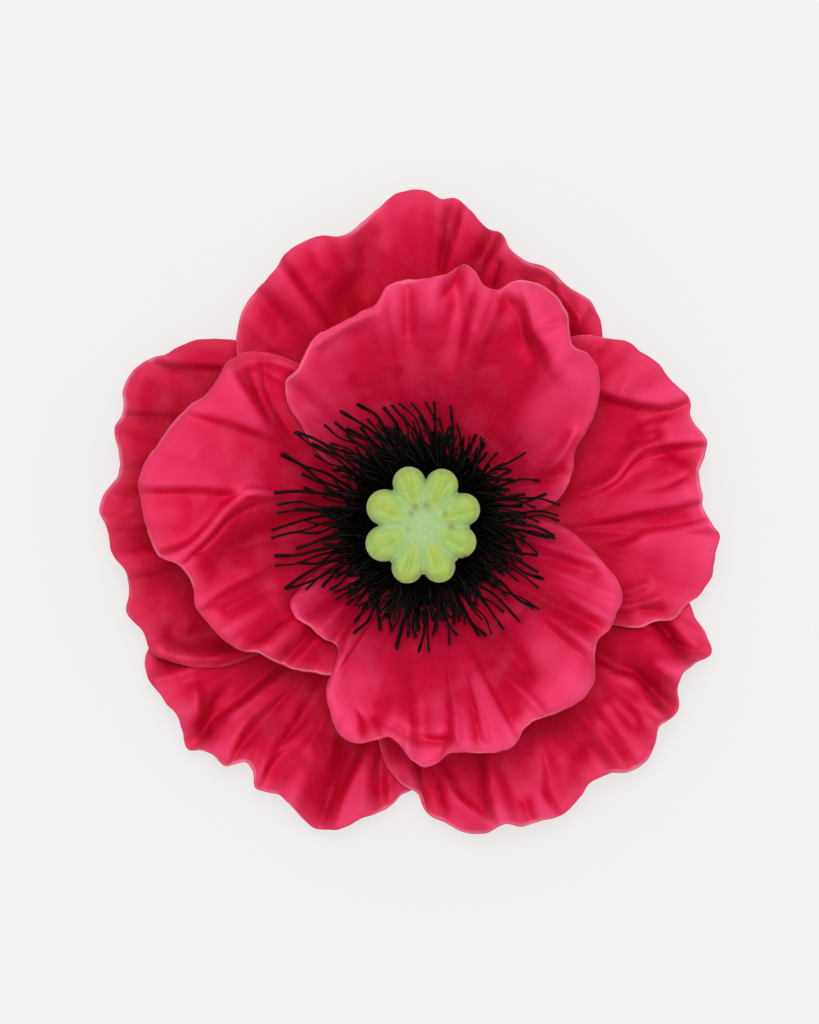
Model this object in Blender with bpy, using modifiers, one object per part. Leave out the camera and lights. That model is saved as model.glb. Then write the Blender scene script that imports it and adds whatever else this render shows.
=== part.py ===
"""Poppy flower head, lying face up: eight petals round a green seed pod in a black fringe.

The flower's axis is Z, with the cut underside of the receptacle at the origin. Lengths in
the tables are millimetres, angles are degrees counterclockwise from +X, seen from above.
Each petal is a bent sheet. Its outline is a list of (angle, radius) points round the rim,
from one side edge to the other, and straight spokes run from its narrow claw at the hub to
that outline. The petals are laid one over another, lowest first.
"""

import math
import random

import bmesh
import bpy
from mathutils import Vector
from mathutils.bvhtree import BVHTree

MM = 0.001

# Petal sheets
PETAL_THICK = 0.8
PETAL_GAP = 0.45
CLAW_RADIUS = 7.2
CLAW_SHARE = 0.45  # a claw's angle is this share of the angle that its petal spans
SPOKE_CELLS = 7
RUFFLE = 1.5  # how far the rim rises at a notch, for each millimetre that the notch cuts in
RUFFLE_FROM = 0.45  # where on its spoke the ruffle starts
MOST_RELIEF = 2.6
DRAPE_REACH = 1.6  # a sheet clears whatever is below it within this distance
DRAPE_ROUNDS = 2
FLOOR_CLEARANCE = 0.35

# Height of a sheet above its claw, against the distance from the flower's axis
OUTER_PROFILE = [(7, 0), (14, -0.3), (24, -1.0), (36, -0.8), (48, 1.8), (60, 6), (70, 9.5), (80, 12)]
INNER_PROFILE = [(7, 0), (15, 0.2), (21, 2), (29, 8), (38, 16), (48, 24), (57, 28.5), (68, 31)]

# Receptacle, pod and collar
FOOT_RADIUS = 7.8
HUB_RADIUS = 8.6
BOSS_RADIUS = 6.8
BOSS_TOP = 13.2
POD_LOBES = 8
POD_TURN = 66.0  # direction of one lobe
POD_FOOT = 13.6
POD_RADIUS = 13.6
POD_TOP = 28.0
COLLAR_RADIUS = 17.5
COLLAR_HEIGHT = 13.6
COLLAR_THICK = 0.8
COLLAR_HOLE = 7.2

# Fringe: rings of tufts, each a strip that is cut into threads along its top edge. turn is
# the first tuft's direction, in steps from one tuft to the next.
TUFTS_IN_RING = 20
THREADS_IN_TUFT = 4
THREAD_WIDTH = 0.62
STRIP_THICK = 1.1
TUFT_GAP = 0.35
FRINGE_RINGS = {
    "upper": {
        "turn": 0, "radius": 10.4, "foot": 15.1, "top": 17.4, "reach": 28.5, "climb": 8.5,
        "bend": 0.8,
    },
    "lower": {
        "turn": 0.5, "radius": 12.6, "foot": 15.3, "top": 16.2, "reach": 29.5, "climb": 7.2,
        "bend": 0.85,
    },
}

PETAL_RED = (0.62, 0.012, 0.055)
FRINGE_BLACK = (0.006, 0.005, 0.005)
COLLAR_BLACK = (0.010, 0.011, 0.007)
POD_GREEN = (0.38, 0.55, 0.13)
STALK_GREEN = (0.14, 0.25, 0.05)

# Petals from the lowest to the highest: the claw's height, the share of the profile's rise,
# the outline, and the broad folds as (from angle, radius, to angle, radius, height, width).
PETALS = {
    "outer_petal_lower_left": {
        "seat": 2.5,
        "profile": OUTER_PROFILE,
        "rise": 1.0,
        "rim": [
            (190, 12), (193, 28), (197, 44), (200, 57), (203, 65), (206, 69.7), (209, 70.9),
            (212, 70.6), (215, 70.3), (218, 70), (221, 71.6), (223.8, 73.4), (226, 70.8),
            (228, 70.1), (230.5, 70.3), (233.5, 66.8), (235.3, 67.2), (238, 70.4), (242, 68.9),
            (246, 70.4), (250.5, 72.8), (254, 71.7), (258.5, 67.6), (263, 64.6), (265.6, 61.4),
            (268.5, 59.5), (272, 54), (276, 44), (280, 30), (283, 12),
        ],
        "folds": [
            (226, 42, 221, 66, 2.6, 3.0), (231, 46, 229, 66, -1.6, 2.6), (236, 46, 233, 64, 2.0, 2.6),
            (240, 52, 236, 66, -2.2, 2.4), (244, 52, 246, 70, 2.2, 3.2), (252, 46, 252, 70, -2.6, 3.2),
            (257, 46, 257, 68, 2.6, 3.0), (210, 58, 211.5, 71, 3.0, 2.6), (217, 58, 217, 69, -1.5, 2.5),
        ],
    },
    "outer_petal_left": {
        "seat": 4.0,
        "profile": OUTER_PROFILE,
        "rise": 1.1,
        "rim": [
            (119, 12), (121, 27), (125, 42), (130, 52), (135, 58.8), (138, 62.8), (142, 67),
            (146, 69.2), (149, 72.3), (152.5, 74.1), (155, 74.3), (159, 72.3), (162.5, 72.7),
            (167, 70.1), (171, 69.6), (174.5, 72.1), (177, 73.1), (180.5, 71.2), (185, 70.4),
            (189, 67.7), (193, 67.9), (196.5, 69.6), (201, 67.5), (205, 67.6), (208.5, 64.5),
            (212, 60.5), (215.5, 55), (217.5, 49), (220, 38), (223, 25), (225, 12),
        ],
        "folds": [
            (141, 50, 141, 66, 1.8, 3.0), (150, 54, 150, 72, 2.0, 3.6), (159, 54, 158, 72, -2.0, 3.4),
            (164, 58, 163.5, 72, 1.8, 3.0), (170, 54, 170, 69, -2.2, 3.2), (186, 54, 188, 68, 2.2, 3.6),
            (197, 50, 197, 68, -2.0, 3.6), (208, 46, 207, 66, 2.2, 3.4),
        ],
    },
    "outer_petal_lower_right": {
        "seat": 4.0,
        "profile": OUTER_PROFILE,
        "rise": 1.0,
        "rim": [
            (250, 12), (253, 26), (256, 40), (259, 50), (262.2, 55.7), (265.5, 58.8), (269.3, 61),
            (271, 65.2), (274.5, 67.6), (278.5, 70.6), (282, 71.1), (285.5, 70), (288.7, 71.9),
            (292, 72.1), (296, 72.8), (300, 71.2), (303, 69.6), (307, 70.3), (310.5, 73.2),
            (314, 73.7), (317.5, 71.8), (319.5, 70.2), (322.5, 71.5), (324.5, 71.3), (327, 68.8),
            (330.5, 67.7), (333.5, 69.5), (336, 71.9), (338.5, 69.5), (341.3, 65.3), (345, 62),
            (349, 55), (354, 43), (358, 28), (361, 12),
        ],
        "folds": [
            (275, 54, 278, 70, 2.2, 3.2), (282, 54, 284, 68, -2.0, 3.0), (287, 50, 288.5, 70, 2.4, 3.2),
            (293.5, 54, 294, 70, -2.0, 3.0), (300, 54, 302, 68, 1.8, 3.0), (307, 50, 308, 68, -2.2, 3.4),
            (316, 48, 316, 70, 2.4, 3.4), (320, 54, 320, 68, -2.0, 2.4), (324, 50, 324, 70, 2.6, 2.8),
            (329, 52, 328.5, 66, -2.0, 2.6), (334, 50, 336, 71, 2.8, 2.6), (340, 52, 340, 64, -2.4, 3.0),
        ],
    },
    "outer_petal_top": {
        "seat": 5.4,
        "profile": OUTER_PROFILE,
        "rise": 1.1,
        "rim": [
            (28, 12), (31, 26), (36, 42), (41, 52), (46, 59), (50, 62.3), (54, 63.6), (58.5, 63.3),
            (63.5, 64.8), (69, 64.3), (72.5, 65.6), (75, 68.6), (78, 69), (81, 71.6), (84.2, 74.3),
            (86.2, 73.9), (90, 75.8), (94, 75.4), (98, 72), (101, 69.8), (105.5, 67.7), (109, 69.2),
            (113, 69.5), (117, 68.6), (120, 66.4), (125, 65.1), (129, 63.7), (134, 60.3), (138, 56),
            (143, 46), (147, 33), (150, 20), (152, 12),
        ],
        "folds": [
            (55, 50, 54, 62, 1.8, 3.0), (61, 52, 61, 63, -2.2, 2.8), (67, 54, 68, 64, 1.8, 3.0),
            (77, 54, 76.5, 67, -2.4, 3.0), (83, 52, 85, 74, 2.4, 3.0), (90, 56, 90, 72, -1.6, 4.0),
            (97, 52, 97, 72, 1.8, 3.4), (103.5, 50, 103, 66, -2.6, 3.4), (113, 46, 111, 66, -1.6, 3.4),
            (118, 44, 121, 65, 2.8, 3.4), (129, 44, 130, 60, 1.6, 3.4),
        ],
    },
    "outer_petal_right": {
        "seat": 6.8,
        "profile": OUTER_PROFILE,
        "rise": 1.15,
        "rim": [
            (-40, 12), (-36, 28), (-31, 42), (-27, 50), (-25, 55), (-22.5, 57.3), (-20, 61.6),
            (-17, 62.6), (-14.5, 64.7), (-10, 66.7), (-5, 66.9), (-2.2, 67.5), (0, 65.8), (3, 64),
            (7.5, 63.7), (10.8, 63.9), (13.8, 66), (16.5, 67.3), (19, 66.4), (22, 65.6), (25, 67),
            (27.5, 66.2), (30, 65.2), (34, 65), (38, 63.5), (42, 62.4), (44.5, 60.2), (48, 57.9),
            (51.5, 54.5), (55, 47), (59, 35), (62, 22), (64, 12),
        ],
        "folds": [
            (-22, 44, -22, 56, 1.8, 3.0), (-16, 42, -16, 60, -1.6, 3.4), (-6, 44, -4, 66, 2.4, 4.4),
            (0, 38, 1.5, 62, -1.8, 3.4), (5, 38, 5, 62, 1.8, 3.6), (14, 46, 11, 64, 2.2, 2.8),
            (17, 42, 18, 62, -1.8, 3.0), (23, 44, 20, 64, 1.8, 3.0), (36, 48, 27, 63, -2.8, 3.0),
            (38, 46, 36, 62, 2.6, 4.6),
        ],
    },
    "inner_petal_left": {
        "seat": 8.6,
        "profile": INNER_PROFILE,
        "rise": 0.88,
        "rim": [
            (112, 12), (115, 25), (120, 37), (127, 45), (131, 51.1), (135, 55.4), (140, 57.4),
            (145, 56.7), (149, 57), (153, 59.1), (158, 60.9), (163, 62.4), (167.5, 64.2),
            (171, 64.8), (176, 63.5), (182, 61.8), (186.5, 60), (189, 55.8), (194, 53.6),
            (200, 54.4), (205, 53.2), (211, 51.5), (215, 49.8), (218.5, 46.6), (222, 45.9),
            (228, 43.9), (234, 41.6), (238, 40.3), (243, 36), (248, 26), (251, 12),
        ],
        "folds": [
            (135, 34, 133, 52, 2.2, 4.4), (146, 28, 142, 50, -3.0, 4.0), (152, 36, 150, 57, 2.4, 4.6),
            (158, 38, 157, 56, -1.6, 3.6), (165, 32, 167, 60, 1.8, 5.4), (171, 32, 170, 60, -1.6, 3.0),
            (175, 32, 187, 56, 2.8, 4.6), (188, 30, 195, 48, -2.8, 4.4), (199, 36, 203, 52, 2.2, 4.4),
            (214, 34, 215, 46, -1.6, 4.0),
        ],
    },
    "inner_petal_top": {
        "seat": 9.8,
        "profile": INNER_PROFILE,
        "rise": 1.0,
        "rim": [
            (2, 12), (6, 24), (10.5, 31.2), (14, 33.6), (18, 35.6), (22, 37.2), (26, 38.6), (30, 43),
            (34, 47.4), (38, 50.9), (42, 53.2), (46, 53.9), (50, 52.7), (53, 55), (56, 58.1),
            (60, 60), (65, 60.3), (69, 58.9), (72.4, 55.6), (76, 56), (78.5, 58.7), (80.8, 59.6),
            (84, 57.2), (88, 55.7), (94, 55.4), (98, 54.6), (101.5, 51), (107, 49.8), (113, 49),
            (118.5, 49.1), (123, 47.6), (128.5, 45.2), (133, 44.9), (136.5, 42.3), (140.5, 35),
            (144, 30), (147, 22), (150, 12),
        ],
        "folds": [
            (42, 24, 40, 52, 2.6, 6.0), (60, 24, 62, 52, -2.6, 5.4), (81, 28, 80.5, 59, 2.2, 3.6),
            (76, 42, 75, 57, -1.8, 3.0), (95, 36, 97, 53, -2.2, 4.0), (106, 26, 110, 47, 1.6, 4.6),
            (116, 24, 119, 40, -1.6, 4.0), (130, 26, 131, 44, 1.4, 5.0),
        ],
    },
    "inner_petal_lower": {
        "seat": 11.0,
        "profile": INNER_PROFILE,
        "rise": 1.0,
        "rim": [
            (199, 12), (203, 23), (208, 31.5), (211, 34.8), (216, 35.6), (221, 34.6), (229, 34.2),
            (236, 33.9), (238.6, 37), (240, 43), (244, 47), (248, 50.5), (252.5, 51.6), (257, 50),
            (261, 48.3), (265, 50.4), (268, 53.4), (270.7, 54.7), (273.5, 53.8), (277, 51.8),
            (282, 52.4), (288.5, 54), (292, 53.9), (297, 51.3), (300, 50.9), (306, 52.2),
            (312, 53.3), (317, 52.8), (321, 50.2), (326, 47.5), (331, 48.5), (335.5, 48.2),
            (339.5, 48.4), (343, 46.6), (348, 42), (352, 38.4), (358, 33), (361, 29), (364, 22),
            (367, 12),
        ],
        "folds": [
            (212, 20, 214, 35, 2.6, 3.6), (226, 20, 229, 34, -2.6, 3.4), (243, 24, 245, 46, 2.4, 4.0),
            (262, 34, 260, 48, -1.6, 3.6), (270, 32, 270.5, 54, 2.2, 3.8), (276, 32, 275, 50, -1.4, 3.0),
            (281, 32, 284, 50, 1.8, 3.8), (298, 24, 299, 50, -2.8, 4.8), (314, 28, 312, 51, 3.0, 5.6),
            (326, 28, 325, 46, -2.0, 4.0), (337, 28, 338, 47, 1.8, 4.4),
        ],
    },
}


def clear_scene():
    """Removes what the file already holds."""
    for old in list(bpy.data.objects):
        bpy.data.objects.remove(old)


def material(name, colour, roughness):
    made = bpy.data.materials.new(name)
    made.use_nodes = True
    shader = made.node_tree.nodes["Principled BSDF"]
    shader.inputs["Base Color"].default_value = (*colour, 1.0)
    shader.inputs["Roughness"].default_value = roughness
    made.diffuse_color = (*colour, 1.0)
    return made


def finished_mesh(bm, name):
    mesh = bpy.data.meshes.new(name)
    bm.to_mesh(mesh)
    bm.free()
    return mesh


def add_object(name, mesh, collection, finish):
    mesh.shade_smooth()
    mesh.set_sharp_from_angle(angle=math.radians(40))
    made = bpy.data.objects.new(name, mesh)
    made.data.materials.append(finish)
    collection.objects.link(made)
    return made


def polar(angle, radius, height=0.0):
    """A point, in metres, from its direction, its distance from the axis and its height."""
    turn = math.radians(angle)
    return Vector((radius * math.cos(turn), radius * math.sin(turn), height)) * MM


def smooth_step(low, high, value):
    share = min(1.0, max(0.0, (value - low) / (high - low)))
    return share * share * (3 - 2 * share)


def along_profile(profile, radius):
    """Height at a radius, on a curve through the profile's points."""
    last = len(profile) - 1
    at = max(i for i in range(last) if profile[i][0] <= radius or i == 0)
    (r0, h0), (r1, h1) = profile[at], profile[at + 1]
    before = profile[max(at - 1, 0)]
    after = profile[min(at + 2, last)]
    span = r1 - r0
    slope0 = (h1 - before[1]) / (r1 - before[0]) * span
    slope1 = (after[1] - h0) / (after[0] - r0) * span
    u = min(1.0, max(0.0, (radius - r0) / span))
    return (
        h0 * (2 * u**3 - 3 * u**2 + 1)
        + slope0 * (u**3 - 2 * u**2 + u)
        + h1 * (3 * u**2 - 2 * u**3)
        + slope1 * (u**3 - u**2)
    )


def fold_height(fold, x, y):
    """Height that one fold adds at a place, in millimetres: a soft ridge or valley."""
    angle0, radius0, angle1, radius1, height, width = fold
    start = polar(angle0, radius0) / MM
    run = polar(angle1, radius1) / MM - start
    offset = Vector((x, y, 0.0)) - start
    along = offset.dot(run) / run.length_squared
    across = (offset - run * along).length
    fade = smooth_step(-0.25, 0.35, along) * (1 - smooth_step(1.0, 1.4, along))
    return height * fade * math.exp(-((across / width) ** 2))


def petal_sheet(petal):
    """A petal's middle surface as a grid mesh: columns are spokes, rows run from claw to rim."""
    rim = petal["rim"]
    middle = (rim[0][0] + rim[-1][0]) / 2
    columns = len(rim) - 1
    longest = max(radius for angle, radius in rim)
    bm = bmesh.new()
    bmesh.ops.create_grid(bm, x_segments=columns, y_segments=SPOKE_CELLS, size=0.5)
    for vert in bm.verts:
        station = round((vert.co.x + 0.5) * columns)
        along = vert.co.y + 0.5
        angle, radius = rim[station]
        beside = (rim[max(station - 1, 0)][1] + rim[min(station + 1, columns)][1]) / 2
        relief = min(MOST_RELIEF, max(-MOST_RELIEF, beside - radius))
        relief *= smooth_step(0.5, 0.75, radius / longest)
        claw = polar(middle + (angle - middle) * CLAW_SHARE, CLAW_RADIUS) / MM
        place = claw.lerp(polar(angle, radius) / MM, along)
        height = petal["seat"] + petal["rise"] * along_profile(petal["profile"], place.length)
        height += RUFFLE * relief * smooth_step(RUFFLE_FROM, 1.0, along)
        height += sum(fold_height(fold, place.x, place.y) for fold in petal["folds"])
        height = max(height, PETAL_THICK / 2 + FLOOR_CLEARANCE)
        vert.co = Vector((place.x, place.y, height)) * MM
    return bm


def highest_below(trees, x, y):
    """The height of the highest sheet within reach of a place, or None."""
    places = [(x, y)]
    for step in range(8):
        turn = step * math.tau / 8
        for reach in (DRAPE_REACH / 2, DRAPE_REACH):
            places.append((x + reach * MM * math.cos(turn), y + reach * MM * math.sin(turn)))
    found = []
    for tree in trees:
        for px, py in places:
            hit = tree.ray_cast(Vector((px, py, 1.0)), Vector((0, 0, -1)))[0]
            if hit is not None:
                found.append(hit.z)
    return max(found, default=None)


def shortfall(face, trees):
    """How far a face must rise to clear what is below it, from a lattice of places on it."""
    a, b, c, d = (vert.co for vert in face.verts)
    worst = 0.0
    for u in (0.0, 0.33, 0.67, 1.0):
        for w in (0.0, 0.33, 0.67, 1.0):
            place = a.lerp(b, u).lerp(d.lerp(c, u), w)
            below = highest_below(trees, place.x, place.y)
            if below is not None:
                worst = max(worst, below + (PETAL_THICK + PETAL_GAP) * MM - place.z)
    return worst


def drape(bm, trees):
    """Raises a sheet until it clears the sheets beneath it, and spreads each rise sideways."""
    for _ in range(DRAPE_ROUNDS):
        rise = dict.fromkeys(bm.verts, 0.0)
        for face in bm.faces:
            short = shortfall(face, trees)
            for vert in face.verts:
                rise[vert] = max(rise[vert], short)
        for _ in range(2):
            spread = {}
            for vert in bm.verts:
                beside = [rise[edge.other_vert(vert)] for edge in vert.link_edges]
                spread[vert] = max(rise[vert], sum(beside) / len(beside))
            rise = spread
        for vert in bm.verts:
            vert.co.z += rise[vert]


def build_petals(collection, finish):
    trees = []
    for name, petal in PETALS.items():
        bm = petal_sheet(petal)
        drape(bm, trees)
        trees.append(BVHTree.FromBMesh(bm))
        made = add_object(name, finished_mesh(bm, name), collection, finish)
        sheet = made.modifiers.new("sheet", "SOLIDIFY")
        sheet.thickness = PETAL_THICK * MM
        sheet.offset = 0.0


def stacked(name, levels, segments, outline):
    """A closed body of rings, drawn up from a capped circle.

    Each level is a ring's (radius, height, depth), and outline(turn, depth) gives the share
    of that radius which the ring reaches in a direction.
    """
    bm = bmesh.new()
    bmesh.ops.create_circle(bm, cap_ends=True, segments=segments, radius=1.0)
    face = bm.faces[:][0]
    for level, (radius, height, depth) in enumerate(levels):
        if level:
            grown = bmesh.ops.extrude_discrete_faces(bm, faces=[face])
            face = grown["faces"][0]
        for vert in face.verts:
            turn = math.atan2(vert.co.y, vert.co.x)
            reach = radius * outline(turn, depth)
            vert.co = Vector((reach * math.cos(turn), reach * math.sin(turn), height)) * MM
    bmesh.ops.holes_fill(bm, edges=bm.edges[:], sides=segments)
    bmesh.ops.recalc_face_normals(bm, faces=bm.faces)
    return finished_mesh(bm, name)


def lobed(turn, depth):
    """Share of the full radius in a direction: 1 at a lobe's middle, less between lobes."""
    share = abs(math.cos((turn - math.radians(POD_TURN)) * POD_LOBES / 2))
    return 1 - depth * (1 - share**0.7)


def lobed_between(turn, depth):
    """The same lobes turned by half a step, so that they show between the pod's own."""
    return lobed(turn + math.pi / POD_LOBES, depth)


def build_receptacle(collection, finish):
    """The turned green boss that the petals and the pod grow from, with a flat cut foot."""
    outline = [
        (0, BOSS_TOP), (BOSS_RADIUS, BOSS_TOP), (BOSS_RADIUS, 1.8), (FOOT_RADIUS, 1.7),
        (HUB_RADIUS, 1.3), (HUB_RADIUS, 0.7), (FOOT_RADIUS, 0), (0, 0),
    ]
    bm = bmesh.new()
    points = [bm.verts.new(Vector((radius, 0, height)) * MM) for radius, height in outline]
    for upper, lower in zip(points, points[1:]):
        bm.edges.new((upper, lower))
    made = add_object("receptacle", finished_mesh(bm, "receptacle"), collection, finish)
    turned = made.modifiers.new("turned", "SCREW")
    turned.steps = 32
    turned.render_steps = 32
    turned.use_merge_vertices = True
    turned.merge_threshold = 0.00005


def build_pod(collection, finish):
    """The seed pod, with its lobed stigma cap: one grown piece."""
    levels = [
        (5.0, POD_FOOT, 0), (6.4, POD_FOOT + 0.5, 0), (8.4, 16.5, 0.02), (9.4, 20, 0.04),
        (9.2, 23.0, 0.06), (9.0, 24.4, 0.10), (12.4, 24.9, 0.22), (POD_RADIUS, 25.8, 0.24),
        (13.4, 26.8, 0.24), (11.8, 27.7, 0.20), (8.0, POD_TOP, 0.10), (4.0, 27.4, 0.03),
        (1.6, 27.2, 0),
    ]
    add_object("seed_pod", stacked("seed_pod", levels, 48, lobed), collection, finish)


def build_collar(collection, finish):
    """The dark lobed disc that backs the fringe, cut out round the pod's foot."""
    top = COLLAR_HEIGHT + COLLAR_THICK
    levels = [
        (8.4, COLLAR_HEIGHT, 0), (13.0, COLLAR_HEIGHT + 0.1, 0.03),
        (COLLAR_RADIUS, COLLAR_HEIGHT + 0.9, 0.16), (COLLAR_RADIUS, top + 0.9, 0.16),
        (13.0, top + 0.1, 0.03), (9.4, top, 0),
    ]
    mesh = stacked("stamen_collar", levels, 48, lobed_between)
    collar = add_object("stamen_collar", mesh, collection, finish)
    bm = bmesh.new()
    radius = COLLAR_HOLE * MM
    bmesh.ops.create_cone(
        bm, cap_ends=True, segments=32, radius1=radius, radius2=radius, depth=20 * MM
    )
    cutter = bpy.data.objects.new("collar_hole", finished_mesh(bm, "collar_hole"))
    cutter.location.z = COLLAR_HEIGHT * MM
    cutter.hide_render = True
    cutter.display_type = "WIRE"
    cutters = bpy.data.collections.new("cutters")
    bpy.context.scene.collection.children.link(cutters)
    cutters.objects.link(cutter)
    hole = collar.modifiers.new("hole", "BOOLEAN")
    hole.operation = "DIFFERENCE"
    hole.object = cutter


def thread_path(angle, ring, rng):
    """Points from a strip's top edge out to a thread's tip."""
    swing = rng.uniform(-1.5, 1.5)
    reach = ring["reach"] * rng.uniform(0.92, 1.06)
    points = []
    for share in (0.22, 0.6, 1.0):
        radius = ring["radius"] + 0.6 + (reach - ring["radius"]) * share
        height = ring["top"] + 1.0 + ring["climb"] * share ** ring["bend"]
        points.append(polar(angle + swing * share, radius, height))
    return points


def grow_thread(bm, face, path):
    """Draws one face of a fringe strip out along a path, as a square thread."""
    for step, centre in enumerate(path):
        grown = bmesh.ops.extrude_discrete_faces(bm, faces=[face])
        face = grown["faces"][0]
        ahead = path[min(step + 1, len(path) - 1)] - path[max(step - 1, 0)]
        direction = ahead.normalized()
        side = direction.cross(Vector((0, 0, 1))).normalized()
        up = side.cross(direction)
        middle = face.calc_center_median()
        for vert in face.verts:
            offset = vert.co - middle
            across = 1 if offset.dot(side) > 0 else -1
            above = 1 if offset.dot(up) > 0 else -1
            vert.co = centre + (side * across + up * above) * THREAD_WIDTH * MM / 2


def tuft_mesh(name, ring, start, width, rng):
    """One tuft: an upright strip bent round the pod, its top edge drawn out into threads."""
    bm = bmesh.new()
    bmesh.ops.create_grid(bm, x_segments=THREADS_IN_TUFT, y_segments=1, size=0.5)
    for vert in bm.verts:
        radius = ring["radius"] + vert.co.y * STRIP_THICK
        vert.co = polar(start + vert.co.x * width, radius, ring["top"])
    tops = list(bm.faces)
    grown = bmesh.ops.extrude_face_region(bm, geom=tops, use_keep_orig=True)
    for item in grown["geom"]:
        if isinstance(item, bmesh.types.BMVert):
            item.co.z = ring["foot"] * MM
    bmesh.ops.recalc_face_normals(bm, faces=bm.faces)
    for face in tops:
        centre = face.calc_center_median()
        angle = math.degrees(math.atan2(centre.y, centre.x))
        grow_thread(bm, face, thread_path(angle, ring, rng))
    bmesh.ops.recalc_face_normals(bm, faces=bm.faces)
    return finished_mesh(bm, name)


def build_fringe(collection, finish):
    """Two rings of stamen tufts round the pod, the lower ring half a step on."""
    rng = random.Random(11)
    step = 360 / TUFTS_IN_RING
    for ring_name, ring in FRINGE_RINGS.items():
        width = step - math.degrees(TUFT_GAP / ring["radius"])
        for tuft in range(TUFTS_IN_RING):
            name = f"stamen_tuft_{ring_name}_{tuft + 1:02d}"
            start = (tuft + ring["turn"]) * step
            mesh = tuft_mesh(name, ring, start, width, rng)
            add_object(name, mesh, collection, finish)


def main():
    clear_scene()
    flower = bpy.data.collections.new("poppy_flower")
    bpy.context.scene.collection.children.link(flower)
    build_receptacle(flower, material("stalk_green", STALK_GREEN, 0.6))
    build_petals(flower, material("petal_red", PETAL_RED, 0.7))
    build_collar(flower, material("collar_black", COLLAR_BLACK, 0.6))
    build_pod(flower, material("pod_green", POD_GREEN, 0.5))
    build_fringe(flower, material("fringe_black", FRINGE_BLACK, 0.4))


main()
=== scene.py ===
"""Poppy flower: fine petals, stamens, collar, pod and receptacle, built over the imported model.

Lengths in this file are millimetres and angles are degrees, counterclockwise from +X as seen
from above, until a mesh is made. The flower's axis is Z, and z = 0 is the surface it lies on.
"""

import logging
import math
from dataclasses import dataclass, field
from enum import Enum

import bpy
import numpy as np
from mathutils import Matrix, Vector


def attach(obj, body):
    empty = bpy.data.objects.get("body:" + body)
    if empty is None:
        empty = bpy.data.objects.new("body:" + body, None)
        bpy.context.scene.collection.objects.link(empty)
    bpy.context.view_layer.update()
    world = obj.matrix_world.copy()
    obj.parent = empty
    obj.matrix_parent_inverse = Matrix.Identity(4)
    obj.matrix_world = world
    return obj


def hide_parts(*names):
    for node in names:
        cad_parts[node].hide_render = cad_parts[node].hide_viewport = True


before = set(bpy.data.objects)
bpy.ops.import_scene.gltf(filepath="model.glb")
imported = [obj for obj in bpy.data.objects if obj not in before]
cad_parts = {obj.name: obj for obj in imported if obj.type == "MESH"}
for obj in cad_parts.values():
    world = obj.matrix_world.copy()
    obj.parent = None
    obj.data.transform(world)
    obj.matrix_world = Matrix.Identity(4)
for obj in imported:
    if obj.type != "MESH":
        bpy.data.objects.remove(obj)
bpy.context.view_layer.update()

MM = 0.001
BODY = "root"

# How much a petal's rim is widened in plan: the outer ones less the higher they sit.
OUTER_SPREAD = 1.015
SPREAD_DROP = 0.0016
INNER_SPREAD = 0.991

BARE_FLOOR = -30.0

log = logging.getLogger("poppy")

Pair = tuple[float, float]
Polar = Pair
Colour = tuple[float, float, float]
Socket = bpy.types.NodeSocket
Material = bpy.types.Material
Object = bpy.types.Object


# ---------------------------------------------------------------- small numeric helpers


def ramp(low: float, high: float, value: np.ndarray) -> np.ndarray:
    """Rises smoothly from 0 at low to 1 at high.

    Args:
        low: Where the rise starts.
        high: Where it ends.
        value: The places asked about.

    Returns:
        The share reached at each place.
    """
    share = np.clip((np.asarray(value, float) - low) / (high - low), 0.0, 1.0)
    return share * share * (3 - 2 * share)


def soft_max(first: np.ndarray, second: np.ndarray, blend: float) -> np.ndarray:
    """The greater of two heights, with a rounded change from one to the other.

    Args:
        first: One set of heights.
        second: The other set.
        blend: How wide the rounded change is.

    Returns:
        Heights that are never below either.
    """
    gap = first - second
    return 0.5 * (first + second + np.sqrt(gap * gap + blend * blend))


def to_xy(points: list[Polar] | tuple[Polar, ...]) -> np.ndarray:
    """Turns (angle, radius) pairs into plan coordinates.

    Args:
        points: The pairs.

    Returns:
        An array of x, y rows.
    """
    pairs = np.array(points, float)
    turn = np.radians(pairs[:, 0])
    return np.stack([pairs[:, 1] * np.cos(turn), pairs[:, 1] * np.sin(turn)], axis=1)


def smooth_curve(points: np.ndarray, count: int) -> np.ndarray:
    """Draws a smooth curve through points, evenly spaced along its length.

    Args:
        points: The points, one a row, in two or three dimensions.
        count: How many places are wanted.

    Returns:
        The places, one a row.
    """
    steps = np.linalg.norm(np.diff(points, axis=0), axis=1)
    knots = np.concatenate([[0.0], np.cumsum(steps)])
    slopes = np.gradient(points, knots, axis=0)
    at = np.linspace(0.0, knots[-1], count)
    cell = np.clip(np.searchsorted(knots, at, side="right") - 1, 0, len(knots) - 2)
    span = (knots[cell + 1] - knots[cell])[:, None]
    u = ((at - knots[cell]) / span[:, 0])[:, None]
    return (
        points[cell] * (2 * u**3 - 3 * u**2 + 1)
        + slopes[cell] * span * (u**3 - 2 * u**2 + u)
        + points[cell + 1] * (3 * u**2 - 2 * u**3)
        + slopes[cell + 1] * span * (u**3 - u**2)
    )


def blurred(values: np.ndarray, reach: float, axis: int) -> np.ndarray:
    """Blurs an array along one axis, holding its end values.

    Args:
        values: The array.
        reach: The blur's standard deviation, in cells.
        axis: The axis to blur along.

    Returns:
        The blurred array.
    """
    half = max(1, int(3 * reach))
    weights = np.exp(-0.5 * (np.arange(-half, half + 1) / reach) ** 2)
    weights /= weights.sum()
    width = [(0, 0)] * values.ndim
    width[axis] = (half, half)
    padded = np.pad(values, width, mode="edge")
    length = values.shape[axis]
    parts = (np.take(padded, range(i, i + length), axis=axis) * w for i, w in enumerate(weights))
    return sum(parts)


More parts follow.
